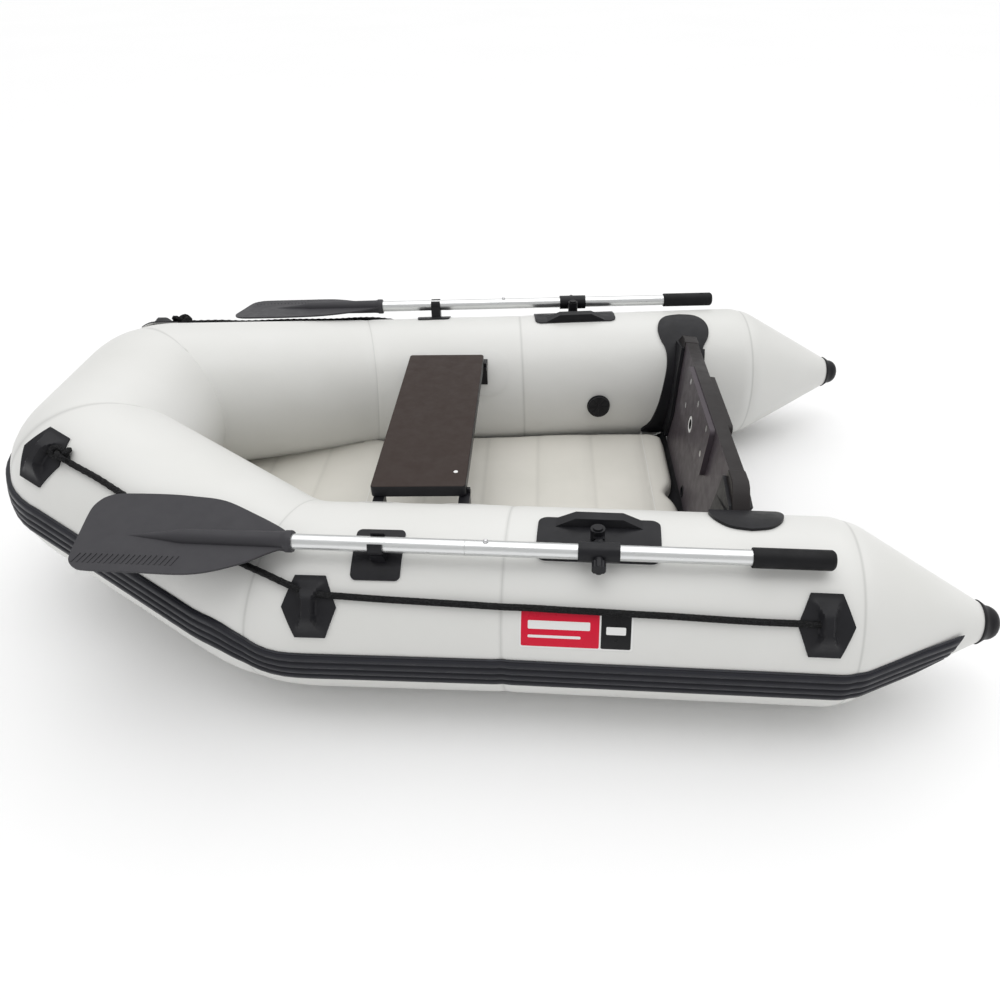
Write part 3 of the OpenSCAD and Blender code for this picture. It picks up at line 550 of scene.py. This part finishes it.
def strakeMiddle(row, side):
    seams = [r for r in stations[side] if onSeam(r)]
    middle = strake["middles"][0]
    for k, seam in enumerate(seams):
        t = min(1, max(0, (row.run - seam.run) / (strake["blend"] * mm) + 0.5))
        middle += (strake["middles"][k + 1] - strake["middles"][k]) * t * t * (3 - 2 * t)
    return middle


def strakeRows(side):
    rows = []
    tail = hullKey(4, side)
    for row in stations[side]:
        s = (row.centre - tail).length if row.leg == 4 else 0
        if s > strake["end"] * mm:
            break
        row.middle, row.fade = strakeMiddle(row, side), 1.0
        row.slant = max(0, (s - strake["slantFrom"] * mm) / (strake["slantOver"] * mm))
        rows.append(row)
    last = rows[-1]
    tip = Station(last.centre + last.tangent * 5 * mm, last.tangent, last.radius - 2 * mm, side, 4)
    tip.middle, tip.fade, tip.slant = last.middle, 0.15, 1.04
    return rows + [tip]


def strakePoint(row, k):
    y, h = strakeSpots[k]
    lift = (strake["thinnest"] + (h - strake["thinnest"]) * row.fade) * mm
    spread = math.degrees(y * mm / (row.radius + lift))
    shift = row.tangent * -y * mm * strake["lean"] * row.slant
    return row.at(row.middle + spread, lift + hull["seamPinch"] * mm * 0.3) + shift


bm = bmesh.new()
both = strakeRows(port)[::-1] + strakeRows(starboard)[1:]
sweep(bm, both, len(strakeSpots), strakePoint)
toPiece("rub_strake_bands", bm, ["strake"], stands=["rub_strake"], crease=50)
print("strake made")

# air deck, dipping at each web, with rounded edges and a shallow notch in its aft edge
deck = {
    "top": 95,
    "thick": 56,
    "front": 262,
    "frontCurve": 60,
    "aft": 1462,
    "flareFrom": 700,  # forward of this the deck runs further under the tubes
    "flareOver": 160,
    "flare": 55,
    "bowHalf": 330,
    "aftHalf": 314,
    "edge": 20,
    "corner": 46,
    "webs": 8,
    "firstWeb": 420,
    "lastWeb": 1400,
    "dip": 2.4,
    "dipReach": 15,
    "seamReach": 4,
    "notch": 22,
    "notchAt": 20,
    "notchWidth": 34,
    "notchLength": 90,
    "wave": 1.2,
    "columns": 150,
    "rows": 72,
}


def innerHalf(x, z):  # distance from the centreline to the tube's inner side
    keys = hull["keys"][1:5]
    k = 0 if x < keys[1][0] else 1 if x < keys[2][0] else 2
    p, q = keys[k], keys[k + 1]
    f = (x - p[0]) / (q[0] - p[0])
    y, cz = p[1] + f * (q[1] - p[1]), p[2] + f * (q[2] - p[2])
    r, h = hull["tubeRadius"], abs(z - cz)
    askew = 1.15 if x <= keys[1][0] else 1  # the bow sections run aslant
    return y - (math.sqrt(r * r - h * h) if h < r else 0) * askew


def deckHalf(x):
    forward = min(1, max(0, (deck["flareFrom"] - x) / deck["flareOver"]))
    widest = deck["bowHalf"] if x < deck["flareFrom"] else deck["aftHalf"]
    half = min(innerHalf(x, deck["top"]) + deck["flare"] * forward, widest) - 1
    toFront = (x - deck["front"]) / deck["frontCurve"]
    if toFront < 1:
        half *= 0.55 + 0.45 * math.sqrt(max(0, 1 - (1 - toFront) ** 2))
    return half


bm = bmesh.new()
seamMark = bm.verts.layers.float.new("seam")
grid = bmesh.ops.create_grid(bm, x_segments=deck["columns"], y_segments=deck["rows"], size=1)["verts"]
webPitch = (deck["lastWeb"] - deck["firstWeb"]) / (deck["webs"] - 1)
noWeb = 99
for v in grid:
    u, w = v.co.x, v.co.y
    x = deck["front"] + (u + 1) / 2 * (deck["aft"] - deck["front"])
    aft = deck["aft"] - x
    half = max(20, deckHalf(x))
    corner = deck["corner"]
    if aft < corner:
        half -= corner - math.sqrt(max(0, corner * corner - (corner - aft) ** 2))
    y = w * half
    notch = deck["notch"] * math.exp(-((y - deck["notchAt"]) / deck["notchWidth"]) ** 2) if u > 0 else 0
    x -= notch * max(0, 1 - aft / deck["notchLength"])
    edge = min(half * (1 - abs(w)), max(0, aft) + 0.5, x - deck["front"] + 0.5)
    r = deck["edge"]
    drop = r - math.sqrt(max(0, r * r - max(0, r - edge) ** 2))
    t = (x - deck["firstWeb"]) / webPitch
    near = abs(t - round(t)) * webPitch if -0.4 < t < deck["webs"] - 0.6 else noWeb
    inland = min(1, edge / 30)
    dip = deck["dip"] * math.exp(-((near / deck["dipReach"]) ** 2)) * inland
    wave = deck["wave"] * noise.noise(Vector((x * 0.012, y * 0.01, 3)))
    v[seamMark] = math.exp(-((near / deck["seamReach"]) ** 2)) * inland
    v.co = Vector((stemX + x * mm, y * mm, (deck["top"] - drop - dip + wave) * mm))
low, rim = extrudeRim(bm, [e for e in bm.edges if e.is_boundary])
for v in low:
    v.co.z = (deck["top"] - deck["thick"]) * mm
    v.co.y *= 0.99
bmesh.ops.edgeloop_fill(bm, edges=rim)
toPiece("air_deck_top", bm, ["deck"], stands=["air_deck"], crease=60)
print("deck made")

# board, pads and other moulded fittings keep their sizes and get rounded edges
fittings = [
    ("transom_board", "board", 3.0, "hull", "dark_board"),
    ("transom_inner_pad", "board", 2.4, "hull", "dark_board"),
    ("transom_outer_pad", "edge", 2.4, "hull", "black_plastic"),
    ("transom_pad_bolts", "steel", 0.9, "hull", "steel"),
    ("line_grommet", "white", 1.0, "hull", "white_plastic"),
    ("drain_socket", "black", 1.2, "hull", "black_rubber"),
    ("drain_plug", "black", 1.2, "plug", "black_rubber"),
    ("seat_board", "seat", 3.0, "seat", "seat_plastic"),
    ("seat_hooks", "black", 1.6, "hull", "black_plastic"),
    ("bottom_sheet", "bottom", 0.5, "hull", "bottom_fabric"),
]
for side in sideName.values():
    fittings += [
        (f"{side}_transom_holder", "rubber", 2.0, "hull", "black_rubber"),
        (f"{side}_valve_body", "black", 1.0, "hull", "black_plastic"),
        (f"{side}_valve_poppet", "white", 0.5, f"{side}_poppet", "white_plastic"),
        (f"{side}_valve_cap", "black", 1.2, f"{side}_cap", "black_plastic"),
        (f"{side}_oarlock_pin", "black", 0.8, "hull", "steel"),
        (f"{side}_oarlock_yoke", "black", 2.2, f"{side}_yoke", "black_plastic"),
        (f"{side}_oar_sleeve", "black", 1.4, f"{side}_sleeve", "black_plastic"),
        (f"{side}_sleeve_knob", "black", 1.4, f"{side}_knob", "black_plastic"),
        (f"{side}_shaft_front", "shaft", 0.4, f"{side}_oar", "shaft_aluminium"),
        (f"{side}_shaft_rear", "shaft", 0.4, f"{side}_oar", "shaft_aluminium"),
        (f"{side}_oar_grip", "grip", 3.0, f"{side}_oar", "grip_rubber"),
        (f"{side}_snap_button", "steel", 0.6, f"{side}_button", "steel"),
        (f"{side}_oar_clip", "black", 1.6, "hull", "black_rubber"),
    ]
fitted = {}
for node, look, width, body, slotName in fittings:
    fitted[node] = softened(node, f"{node}_moulding", look, width, body)
boardPiece = fitted["transom_board"]
boardPiece.data.materials.append(finish["edge"])
for polygon in boardPiece.data.polygons:  # the panel faces the bow
    polygon.material_index = 0 if polygon.normal.x < -0.6 else 1
seatPiece = fitted["seat_board"]
seatPiece.data.materials.append(finish["black"])
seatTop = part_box("seat_board")[1].z
for polygon in seatPiece.data.polygons:  # brown top; the sides and underside are painted black as shade
    polygon.material_index = 0 if polygon.normal.z > 0.9 and polygon.center.z > seatTop - 1 * mm else 1
print("fittings made:", len(fitted))

# white stud on the seat
stud = {"radius": 4.5, "height": 0.9, "place": (955, -253)}
bm = bmesh.new()
bmesh.ops.create_circle(bm, cap_ends=True, segments=28, radius=stud["radius"] * mm)
lid = bmesh.ops.extrude_face_region(bm, geom=bm.faces[:])["geom"]
bmesh.ops.translate(bm, verts=vertsIn(lid), vec=(0, 0, stud["height"] * mm))
spot = (stemX + stud["place"][0] * mm, stud["place"][1] * mm, seatTop - 0.1 * mm)
bmesh.ops.translate(bm, verts=bm.verts, vec=spot)
toPiece("seat_stud", bm, ["white"], "seat", crease=35)

rope = {
    "radius": 5.9,
    "around": 18,
    "points": [
        (158, 300, 426), (197, 316, 423), (240, 340, 414), (289, 366, 404), (332, 390, 392),
        (374, 415, 382), (432, 450, 370), (492, 484, 356), (550, 514, 344), (606, 543, 335),
        (650, 562, 327), (690, 577, 316), (728, 587, 305), (790, 591, 300), (860, 597, 298),
        (930, 602, 296), (1000, 608, 295), (1059, 612, 293), (1115, 616, 293), (1175, 621, 292),
        (1232, 625, 291), (1290, 630, 290), (1347, 634, 289), (1403, 639, 288), (1460, 644, 287),
        (1515, 648, 286), (1571, 652, 286), (1624, 657, 286),
    ],
    "spacing": 3.5,
    "strands": 4,
    "lay": 17,
    "relief": 0.055,
}


class RopeRow:  # one ring of a cord
    def __init__(self, centre):
        self.centre, self.run = centre, 0.0


def ropePoint(row, k):
    a = 2 * math.pi * k / rope["around"]
    turn = row.run / (rope["lay"] * mm) * 2 * math.pi
    n, relief = rope["strands"], rope["relief"]
    swell = 1 + relief * math.sin(n * a + turn) + relief * math.sin(n * a - turn)
    return row.centre + rope["radius"] * mm * swell * (math.cos(a) * row.up + math.sin(a) * row.out)


for side, name in sideName.items():
    spots = [Vector((stemX + x * mm, side * y * mm, z * mm)) for x, y, z in rope["points"]]
    spots = [spots[0] * 2 - spots[1]] + spots + [spots[-1] * 2 - spots[-2]]
    rows = []
    for a, b, c, d in zip(spots, spots[1:], spots[2:], spots[3:]):
        steps = max(2, round((c - b).length / (rope["spacing"] * mm)))
        rows += [RopeRow(through(a, b, c, d, j / steps)) for j in range(steps)]
    rows.append(RopeRow(spots[-2]))
    for k, row in enumerate(rows):
        if k:
            row.run = rows[k - 1].run + (row.centre - rows[k - 1].centre).length
        row.tangent = (rows[min(k + 1, len(rows) - 1)].centre - rows[max(k - 1, 0)].centre).normalized()
        row.up, row.out = uprightAxes(row.tangent, side)
    bm = bmesh.new()
    sweep(bm, rows, rope["around"], ropePoint)
    stands = [f"{name}_grab_rope"]
    toPiece(f"{name}_grab_rope_braid", bm, ["cord"], stands=stands, crease=80)
print("ropes made")

# label: a white backing, a red and a black panel, and plain bars
decal = {
    "along": 133,
    "angle": 64.5,
    "backing": (197, 70, 4),  # length, height and corner radius
    "redPanel": (136, 64, 3),
    "redShift": (-28, 0),
    "blackPanel": (52, 64, 3),
    "blackShift": (69, 0),
    "bars": [(-30, -8, 108, 15), (-38, 13, 92, 5), (69, -2, 34, 14)],
    "bevel": 0.12,
    "barLift": 0.38,
}


def labelPiece(name, look, side, size, thick, bevel=0.0, shift=(0, 0), lift=0.0):
    bm = bmesh.new()
    gridPlate(bm, [(x + shift[0], y + shift[1]) for x, y in roundedOutline(*size)], thick, 9)
    for v in bm.verts:
        v.co.z += lift * mm
    wrapOnTube(bm, side, 3, decal["along"], decal["angle"])
    piece = toPiece(name, bm, [look], crease=35)
    if bevel:
        addBevel(piece, bevel, degrees=40, harden=False)


for side, name in sideName.items():
    bevel = decal["bevel"]
    labelPiece(f"{name}_decal_white", "white", side, decal["backing"], 0.2)
    labelPiece(f"{name}_decal_red", "red", side, decal["redPanel"], 0.4, bevel, decal["redShift"])
    black = f"{name}_decal_black"
    labelPiece(black, "labelBlack", side, decal["blackPanel"], 0.4, bevel, decal["blackShift"])
    for k, (x, y, w, h) in enumerate(decal["bars"]):
        bar = f"{name}_decal_bar_{k}"
        labelPiece(bar, "white", side, (w, h, 2), 0.15, shift=(x, y), lift=decal["barLift"])
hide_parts("side_decals")

# round patches that carry the seat's hooks
patch = {"radius": 62, "corners": 48, "thick": 1.1, "angle": -56, "places": [802, 975]}
turns = [2 * math.pi * j / patch["corners"] for j in range(patch["corners"])]
circle = [(patch["radius"] * math.cos(a), patch["radius"] * math.sin(a)) for a in turns]
seatPatches = bmesh.new()
for side in sideName:
    for x in patch["places"]:
        wrappedInto(seatPatches, circle, patch["thick"], side, 2, x - hull["keys"][2][0], patch["angle"])
toPiece("seat_patches", seatPatches, ["patch"], stands=["seat_hook_patches"], crease=35)
print("labels and patches made")

for node in ("bow_baffle", "deck_webs"):  # inside the hull, so only their finish is set
    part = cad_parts[node]
    part.data.materials.clear()
    part.data.materials.append(finish["patch"])

# oarlock base: a plate glued to the tube, a sloping bracket inboard of the swing pin, a boss under the pin
base = {"size": (222, 104), "corner": 18, "thick": 4, "along": 167, "angle": 9.5}
bracket = {"foot": 88, "head": 43, "inner": -50, "outer": -22, "rise": 21, "bevel": 2.4, "lean": 0.25}
boss = {
    "rings": [(9, -34), (12.5, -34), (12.5, -18), (11.5, -12.5), (9, -11.8)],
    "height": 373.4,
    "around": 40,
}
oarShift = {port: 0, starboard: -14}


def slope(v):  # the bracket's ends and outer side lean in as it rises
    t = v.co.z / (bracket["rise"] * mm)
    reach = bracket["foot"] + (bracket["head"] - bracket["foot"]) * t
    v.co.x *= reach / bracket["foot"]
    middle = (bracket["inner"] + bracket["outer"]) / 2 * mm
    v.co.y = middle + (v.co.y - middle) * (1 - bracket["lean"] * t)


for side, name in sideName.items():
    at = base["along"] + oarShift[side]
    bm = bmesh.new()
    wrappedInto(bm, roundedOutline(*base["size"], base["corner"]), base["thick"], side, 3, at, base["angle"])
    foot, low, high = bracket["foot"], bracket["inner"], bracket["outer"]
    block = [(-foot, low), (foot, low), (foot, high), (-foot, high)]
    wrappedInto(bm, block, bracket["rise"], side, 3, at, base["angle"], step=500, shape=slope)
    stands = [f"{name}_oarlock_base"]
    piece = toPiece(f"{name}_oarlock_base_moulding", bm, ["black"], stands=stands, crease=35)
    addBevel(piece, bracket["bevel"])
    low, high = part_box(f"{name}_oarlock_pin")
    spot = (low + high) / 2

    def bossPoint(row, k):
        a = 2 * math.pi * k / boss["around"]
        r, h = row[0] * mm, (boss["height"] + row[1]) * mm
        return Vector((spot.x + r * math.cos(a), spot.y + r * math.sin(a), h))

    bm = bmesh.new()
    sweep(bm, boss["rings"], boss["around"], bossPoint)
    toPiece(f"{name}_swing_boss", bm, ["black"], crease=35)
print("oarlock bases made")

# rubber strip that closes the gap between the deck and the transom's foot
strip = {"profile": [(1473, 90), (1468, 76), (1456, 60), (1432, 50)], "thick": 2.5}
bm = bmesh.new()
grid = bmesh.ops.create_grid(bm, x_segments=18, y_segments=60, size=1)["verts"]
for v in grid:
    t = (v.co.x + 1) * 1.4999  # just short of three spans, so the last row stays on the third
    k = int(t)
    (x0, z0), (x1, z1) = strip["profile"][k], strip["profile"][k + 1]
    x, z = x0 + (x1 - x0) * (t - k), z0 + (z1 - z0) * (t - k)
    v.co = Vector((stemX + x * mm, v.co.y * (innerHalf(x, z) - 3) * mm, z * mm))
bmesh.ops.solidify(bm, geom=bm.faces[:], thickness=strip["thick"] * mm)
toPiece("transom_foot_strip", bm, ["rubber"], crease=50)

# the holders' saddles: a rounded head over the tube, a neck, and a wider foot down the inner side
saddle = {
    "outline": [
        (-13, 168), (24, 160), (47, 136), (56, 104), (51, 72), (38, 50), (31, 30), (30, -20),
        (26, -80), (20, -150), (12, -207), (-122, -207), (-107, -165), (-92, -115), (-80, -62),
        (-69, -10), (-66, 24), (-69, 48), (-78, 72), (-82, 104), (-73, 136), (-50, 160), (-13, 168),
    ],
    "aft": 1523.5,
    "angle": -55,
    "thick": 5.8,
    "bevel": 1.8,
    "skin": 6.2,  # the holder's own saddle is nearer the tube than this
    "headFrom": 40,
    "shift": -13,
    "tuck": 0.55,
    "sink": 6.5,
}
saddleAlong = saddle["aft"] - hull["keys"][3][0]
for side, name in sideName.items():
    middle = stationAt(side, 3, saddleAlong * mm)
    for v in fitted[f"{name}_transom_holder"].data.vertices:  # their own heads go under the new ones
        arm = v.co - middle.centre
        out, up, along = arm.dot(middle.out), arm.dot(middle.up), arm.dot(middle.tangent)
        arc = math.radians(math.degrees(math.atan2(out, up)) - saddle["angle"]) * hull["tubeRadius"]
        if math.hypot(out, up) < tubeR + saddle["skin"] * mm and arc > saddle["headFrom"]:
            v.co += middle.tangent * (saddle["shift"] * mm - (1 - saddle["tuck"]) * along)
            v.co -= (arm - middle.tangent * along).normalized() * saddle["sink"] * mm
    bm = bmesh.new()
    outline = smoothLoop(saddle["outline"], 4)[:-1]
    wrappedInto(bm, outline, saddle["thick"], side, 3, saddleAlong, saddle["angle"], step=7)
    piece = toPiece(f"{name}_saddle_skin", bm, ["rubber"], crease=35)
    addBevel(piece, saddle["bevel"])

# rounded shoulders that carry each holder up level with the board's top edge
shoulder = {
    "outline": [
        (300, 1), (338, 1), (352, -4), (366, -14), (382, -28),
        (396, -43), (408, -60), (416, -80), (416, -120), (300, -120),
    ],
    "front": -2.4,
    "thick": 35.8,
    "bevel": 2.6,
}
transom = {"top": (1504, 368), "rake": 6.3}  # the front of its top edge, and how far it leans aft
lineBore = {"place": (28, -88), "radius": 12.8}
topX, topZ = transom["top"]
lean = Matrix.Rotation(math.radians(transom["rake"]), 4, "Y")
onTransom = Matrix.Translation((stemX + topX * mm, 0, topZ * mm)) @ lean
grommet = fitted["line_grommet"]
grommet.data.materials.append(finish["black"])
for polygon in grommet.data.polygons:  # the bore's walls are painted black as shade in the hole, its flange stays white
    spot = onTransom.inverted() @ polygon.center
    away = math.hypot(spot.y - lineBore["place"][0] * mm, spot.z - lineBore["place"][1] * mm)
    if away < lineBore["radius"] * mm and abs(polygon.normal.x) < 0.7:
        polygon.material_index = 1
bm = bmesh.new()
aftward = onTransom.to_3x3() @ Vector((shoulder["thick"] * mm, 0, 0))
for side in sideName:
    spots = [Vector((shoulder["front"] * mm, side * y * mm, z * mm)) for y, z in shoulder["outline"]]
    face = bm.faces.new([bm.verts.new(onTransom @ spot) for spot in spots])
    made = bmesh.ops.extrude_face_region(bm, geom=[face])["geom"]
    bmesh.ops.translate(bm, verts=vertsIn(made), vec=aftward)
piece = toPiece("holder_shoulders", bm, ["edge"], crease=35)
addBevel(piece, shoulder["bevel"], 3, 30)
print("transom fittings made")

# the knot that ends each rope on the bow pad
knot = {
    "place": (212, 322, 429),
    "size": 5.6,
    "cord": 5.2,
    "steps": 90,
    "relief": 0.09,
    "twist": 0.851,
    "stretch": (1.25, 0.9, 1.1),
}


def knotPoint(row, k):
    a = 2 * math.pi * k / rope["around"]
    swell = 1 + knot["relief"] * math.sin(rope["strands"] * a + row.run * knot["twist"])
    return row.centre + knot["cord"] * mm * swell * (math.cos(a) * row.up + math.sin(a) * row.out)


for side, name in sideName.items():
    x, y, z = knot["place"]
    spot = Vector((stemX + x * mm, side * y * mm, z * mm))
    ropeWay = Vector((0.84, side * 0.5, -0.2)).normalized()
    upKnot, outKnot = uprightAxes(ropeWay, side)
    long, wide, tall = knot["stretch"]
    rows = []
    for k in range(knot["steps"] + 1):
        t = 2 * math.pi * k / knot["steps"]
        a, b, c = math.sin(t) + 2 * math.sin(2 * t), math.cos(t) - 2 * math.cos(2 * t), -math.sin(3 * t)
        offset = ropeWay * a * long + outKnot * b * wide + upKnot * c * tall
        rows.append(RopeRow(spot + offset * knot["size"] * mm))
    for k, row in enumerate(rows):
        after, before = rows[(k + 1) % knot["steps"]], rows[(k - 1) % knot["steps"]]
        row.run = k
        row.tangent = (after.centre - before.centre).normalized()
        row.up = (spot - row.centre).cross(row.tangent).normalized()
        row.out = row.up.cross(row.tangent)
    bm = bmesh.new()
    sweep(bm, rows, rope["around"], knotPoint)
    toPiece(f"{name}_rope_knot", bm, ["cord"], crease=80)
print("knots made")

# hexagonal pads with a ridge over the rope
pad = {
    "spots": [(1, 22, 41), (2, 92, 56), (3, 557, 56)],  # leg, distance along it, degrees outboard
    "outline": [(-27.2, 55), (27.2, 55), (48.5, 0), (27.2, -55), (-27.2, -55), (-48.5, 0)],
    "thick": 4,
    "crest": 18,
    "bevel": 0.9,
}
# thin pale lines of glue round the pads, the oarlock bases and the oar clips
glue = {
    "thick": 0.5,
    "margin": 1.5,
    "padGrowth": 1.03,
    "clip": (91, 103, 11),
    "clipAft": 846,
    "clipAngle": 24.5,
}


def scoop(v):  # highest where the rope passes under it, with hollow flanks
    if v.co.z < 2 * mm:
        return
    x, y = abs(v.co.x) / mm, abs(v.co.y) / mm
    t = min(1, max(0, (y - 13) / 36))
    crest = pad["crest"] * (1 - t * t * (3 - 2 * t))
    wide = 8.5 + 14 * t
    flank = min(1, max(0, 1 - (x - wide) / (5 + 10 * t)))
    edge = min(1, (52.5 - y) / 6)
    v.co.z += crest * flank ** 1.6 * max(0, edge) * mm


for side, name in sideName.items():
    bm = bmesh.new()
    more, thin, shift = glue["margin"], glue["thick"], oarShift[side]
    wide, high = base["size"]
    baseGlue = roundedOutline(wide + 2 * more, high + 2 * more, base["corner"] + more)
    wrappedInto(bm, baseGlue, thin, side, 3, base["along"] + shift, base["angle"])
    clipAlong = glue["clipAft"] + shift - hull["keys"][2][0]
    wrappedInto(bm, roundedOutline(*glue["clip"]), thin, side, 2, clipAlong, glue["clipAngle"])
    grown = [(x * glue["padGrowth"], y * glue["padGrowth"]) for x, y in pad["outline"]]
    for leg, along, degrees in pad["spots"]:
        wrappedInto(bm, grown, thin, side, leg, along, degrees)
    toPiece(f"{name}_glue_lines", bm, ["white"], crease=35)
    bm = bmesh.new()
    for leg, along, degrees in pad["spots"]:
        wrappedInto(bm, pad["outline"], pad["thick"], side, leg, along, degrees, step=3, shape=scoop)
    stands = [f"{name}_rope_pads"]
    piece = toPiece(f"{name}_rope_pads_moulding", bm, ["rubber"], stands=stands, crease=32)
    addBevel(piece, pad["bevel"], 2, 50)
print("rope pads made")

# oar blades: a dished plate with a smooth outline, a tapering spine with a collar, and ribs
blade = {
    "outline": [
        (-2, 17), (-26, 34), (-73, 60), (-141, 92), (-203, 101), (-260, 104), (-338, 102),
        (-362, 95), (-375, 80), (-380, 56), (-374, 0), (-367, -48), (-360, -67), (-346, -79),
        (-325, -84.5), (-240, -85.5), (-139, -84), (-65, -56), (-26, -30), (-2, -17),
    ],
    "thick": 4,
    "dish": 1.75,
    "roll": 8,
    "bevel": 1.6,
    "collar": (690, 532, 377),
    "grip": (1615, 587, 371),
    "spine": [
        (9, 15.2), (9, 18.6), (7, 19.6), (-3, 19.6), (-6, 18), (-12, 17.2), (-80, 16.8), (-184, 16.2),
        (-190, 15.6), (-205, 13), (-222, 10.2), (-245, 7.2), (-270, 4), (-290, 1.6), (-300, 0.6),
    ],
    "around": 48,
}
rib = {"count": 19, "first": -350, "pitch": 9.6, "width": 2.6, "height": 2.6, "lean": 7, "reach": (46, 70)}


def oarFrame(side, roll):  # origin on the collar, x toward the grip, z up from the blade
    ends = [blade["collar"], blade["grip"]]
    a, b = (Vector((stemX + (x + oarShift[side]) * mm, side * y * mm, z * mm)) for x, y, z in ends)
    way = (b - a).normalized()
    across = Matrix.Rotation(math.radians(-side * roll), 4, way) @ Vector((0, 0, 1)).cross(way).normalized()
    return Matrix.Translation(a) @ Matrix((way, across, way.cross(across))).transposed().to_4x4()


for side, name in sideName.items():
    place, oar = oarFrame(side, blade["roll"]), f"{name}_oar"

    def spinePoint(row, k):
        a = 2 * math.pi * k / blade["around"]
        return place @ (Vector((row[0], row[1] * math.cos(a), row[1] * math.sin(a))) * mm)

    bm = bmesh.new()
    gridPlate(bm, [(x, -side * y) for x, y in smoothLoop(blade["outline"])], blade["thick"], 12)
    for v in bm.verts:
        fade = min(1, max(0, (-v.co.x - 0.03) / 0.1))  # flat beside the collar
        dish = blade["dish"] * (v.co.y / 0.09) ** 2 * fade
        v.co = place @ (v.co + Vector((0, 0, (dish - blade["thick"] / 2) * mm)))
    piece = toPiece(f"{name}_blade_plate", bm, ["blade"], oar, [f"{name}_oar_blade"], crease=35)
    addBevel(piece, blade["bevel"])
    bm = bmesh.new()
    sweep(bm, blade["spine"], blade["around"], spinePoint)
    toPiece(f"{name}_blade_spine", bm, ["blade"], oar, crease=35)
    bm = bmesh.new()
    rise = place.to_3x3() @ Vector((0, 0, rib["height"] * mm))
    y0, y1 = rib["reach"]
    w, lean = rib["width"], rib["lean"]
    for k in range(rib["count"]):
        x = rib["first"] + k * rib["pitch"]
        foot = [(x, y0), (x + w, y0), (x + w - lean, y1), (x - lean, y1)]
        spots = [Vector((px, side * py, blade["thick"] / 2 - 0.6)) * mm for px, py in foot]
        face = bm.faces.new([bm.verts.new(place @ spot) for spot in spots])
        crown = vertsIn(bmesh.ops.extrude_face_region(bm, geom=[face])["geom"])
        middle = sum((v.co for v in crown), Vector()) / 4
        for v in crown:
            v.co = middle + (v.co - middle) * 0.85 + rise
    toPiece(f"{name}_blade_ribs", bm, ["blade"], oar, crease=20)
print("blades made")

# plain studio: pale floor, soft light from all round and one large lamp overhead
studio = {"floor": 40, "world": 0.62, "sky": 1.45, "skyWidth": 80, "lampWidth": 2.4, "lamp": 14}
floorBm = bmesh.new()
bmesh.ops.create_grid(floorBm, x_segments=8, y_segments=8, size=studio["floor"])
floorMesh = bpy.data.meshes.new("studioFloor")
floorBm.to_mesh(floorMesh)
floorBm.free()
floor = bpy.data.objects.new("studioFloor", floorMesh)
bpy.context.scene.collection.objects.link(floor)
floorLook, tree, shader = newFinish("studioFloor")
floorShade = rampOn(tree, noiseOn(tree, 0.6, 2), [(0.3, (0.94, 0.94, 0.94)), (0.7, (0.95, 0.95, 0.95))])
tree.links.new(floorShade, shader.inputs["Base Color"])
shader.inputs["Roughness"].default_value = 0.9
floorMesh.materials.append(floorLook)

bpy.context.scene.view_settings.view_transform = "Standard"
world = bpy.data.worlds.new("studio")
bpy.context.scene.world = world
world.use_nodes = True
world.node_tree.nodes["Background"].inputs["Color"].default_value = (1, 1, 1, 1)
world.node_tree.nodes["Background"].inputs["Strength"].default_value = studio["world"]


def lamp(name, place, aim, size, power):
    light = bpy.data.lights.new(name, "AREA")
    light.shape, light.size, light.energy = "DISK", size, power
    holder = bpy.data.objects.new(name, light)
    facing = (Vector(aim) - Vector(place)).to_track_quat("-Z", "Y").to_matrix().to_4x4()
    holder.matrix_world = Matrix.Translation(place) @ facing
    bpy.context.scene.collection.objects.link(holder)


lamp("overhead", (0.2, -0.6, 4.2), (0, 0, 0.2), studio["lampWidth"], studio["lamp"])
skyLight = bpy.data.lights.new("sky", "SUN")
skyLight.energy, skyLight.angle = studio["sky"], math.radians(studio["skyWidth"])
skyHolder = bpy.data.objects.new("sky", skyLight)
skyHolder.matrix_world = Vector((0.1, 0.25, 1)).to_track_quat("Z", "Y").to_matrix().to_4x4()
bpy.context.scene.collection.objects.link(skyHolder)

view = {
    "lens": 29.13,
    "shift": (-0.049, 0.0106),
    "eye": (1144.3, -1643.9, 1249.5),  # aft of the stem, to starboard and up
    "yaw": 0.0012,
    "pitch": 0.6297,
    "roll": 0.0061,
}
camera = bpy.data.cameras.new("mainCamera")
camera.sensor_width, camera.lens = 36, view["lens"]
camera.shift_x, camera.shift_y = view["shift"]
camera.clip_end = 60
eye = Vector((stemX, 0, 0)) + Vector(view["eye"]) * mm
yaw, pitch, roll = view["yaw"], view["pitch"], view["roll"]
ahead = Vector((math.sin(yaw) * math.cos(pitch), math.cos(yaw) * math.cos(pitch), -math.sin(pitch)))
right = Vector((math.cos(yaw), -math.sin(yaw), 0))
down = ahead.cross(right)
across = math.cos(roll) * right + math.sin(roll) * down
below = -math.sin(roll) * right + math.cos(roll) * down
holder = bpy.data.objects.new("mainCamera", camera)
holder.matrix_world = Matrix((
    (across.x, -below.x, -ahead.x, eye.x),
    (across.y, -below.y, -ahead.y, eye.y),
    (across.z, -below.z, -ahead.z, eye.z),
    (0, 0, 0, 1),
))
bpy.context.scene.collection.objects.link(holder)
bpy.context.scene.camera = holder

print("studio made")
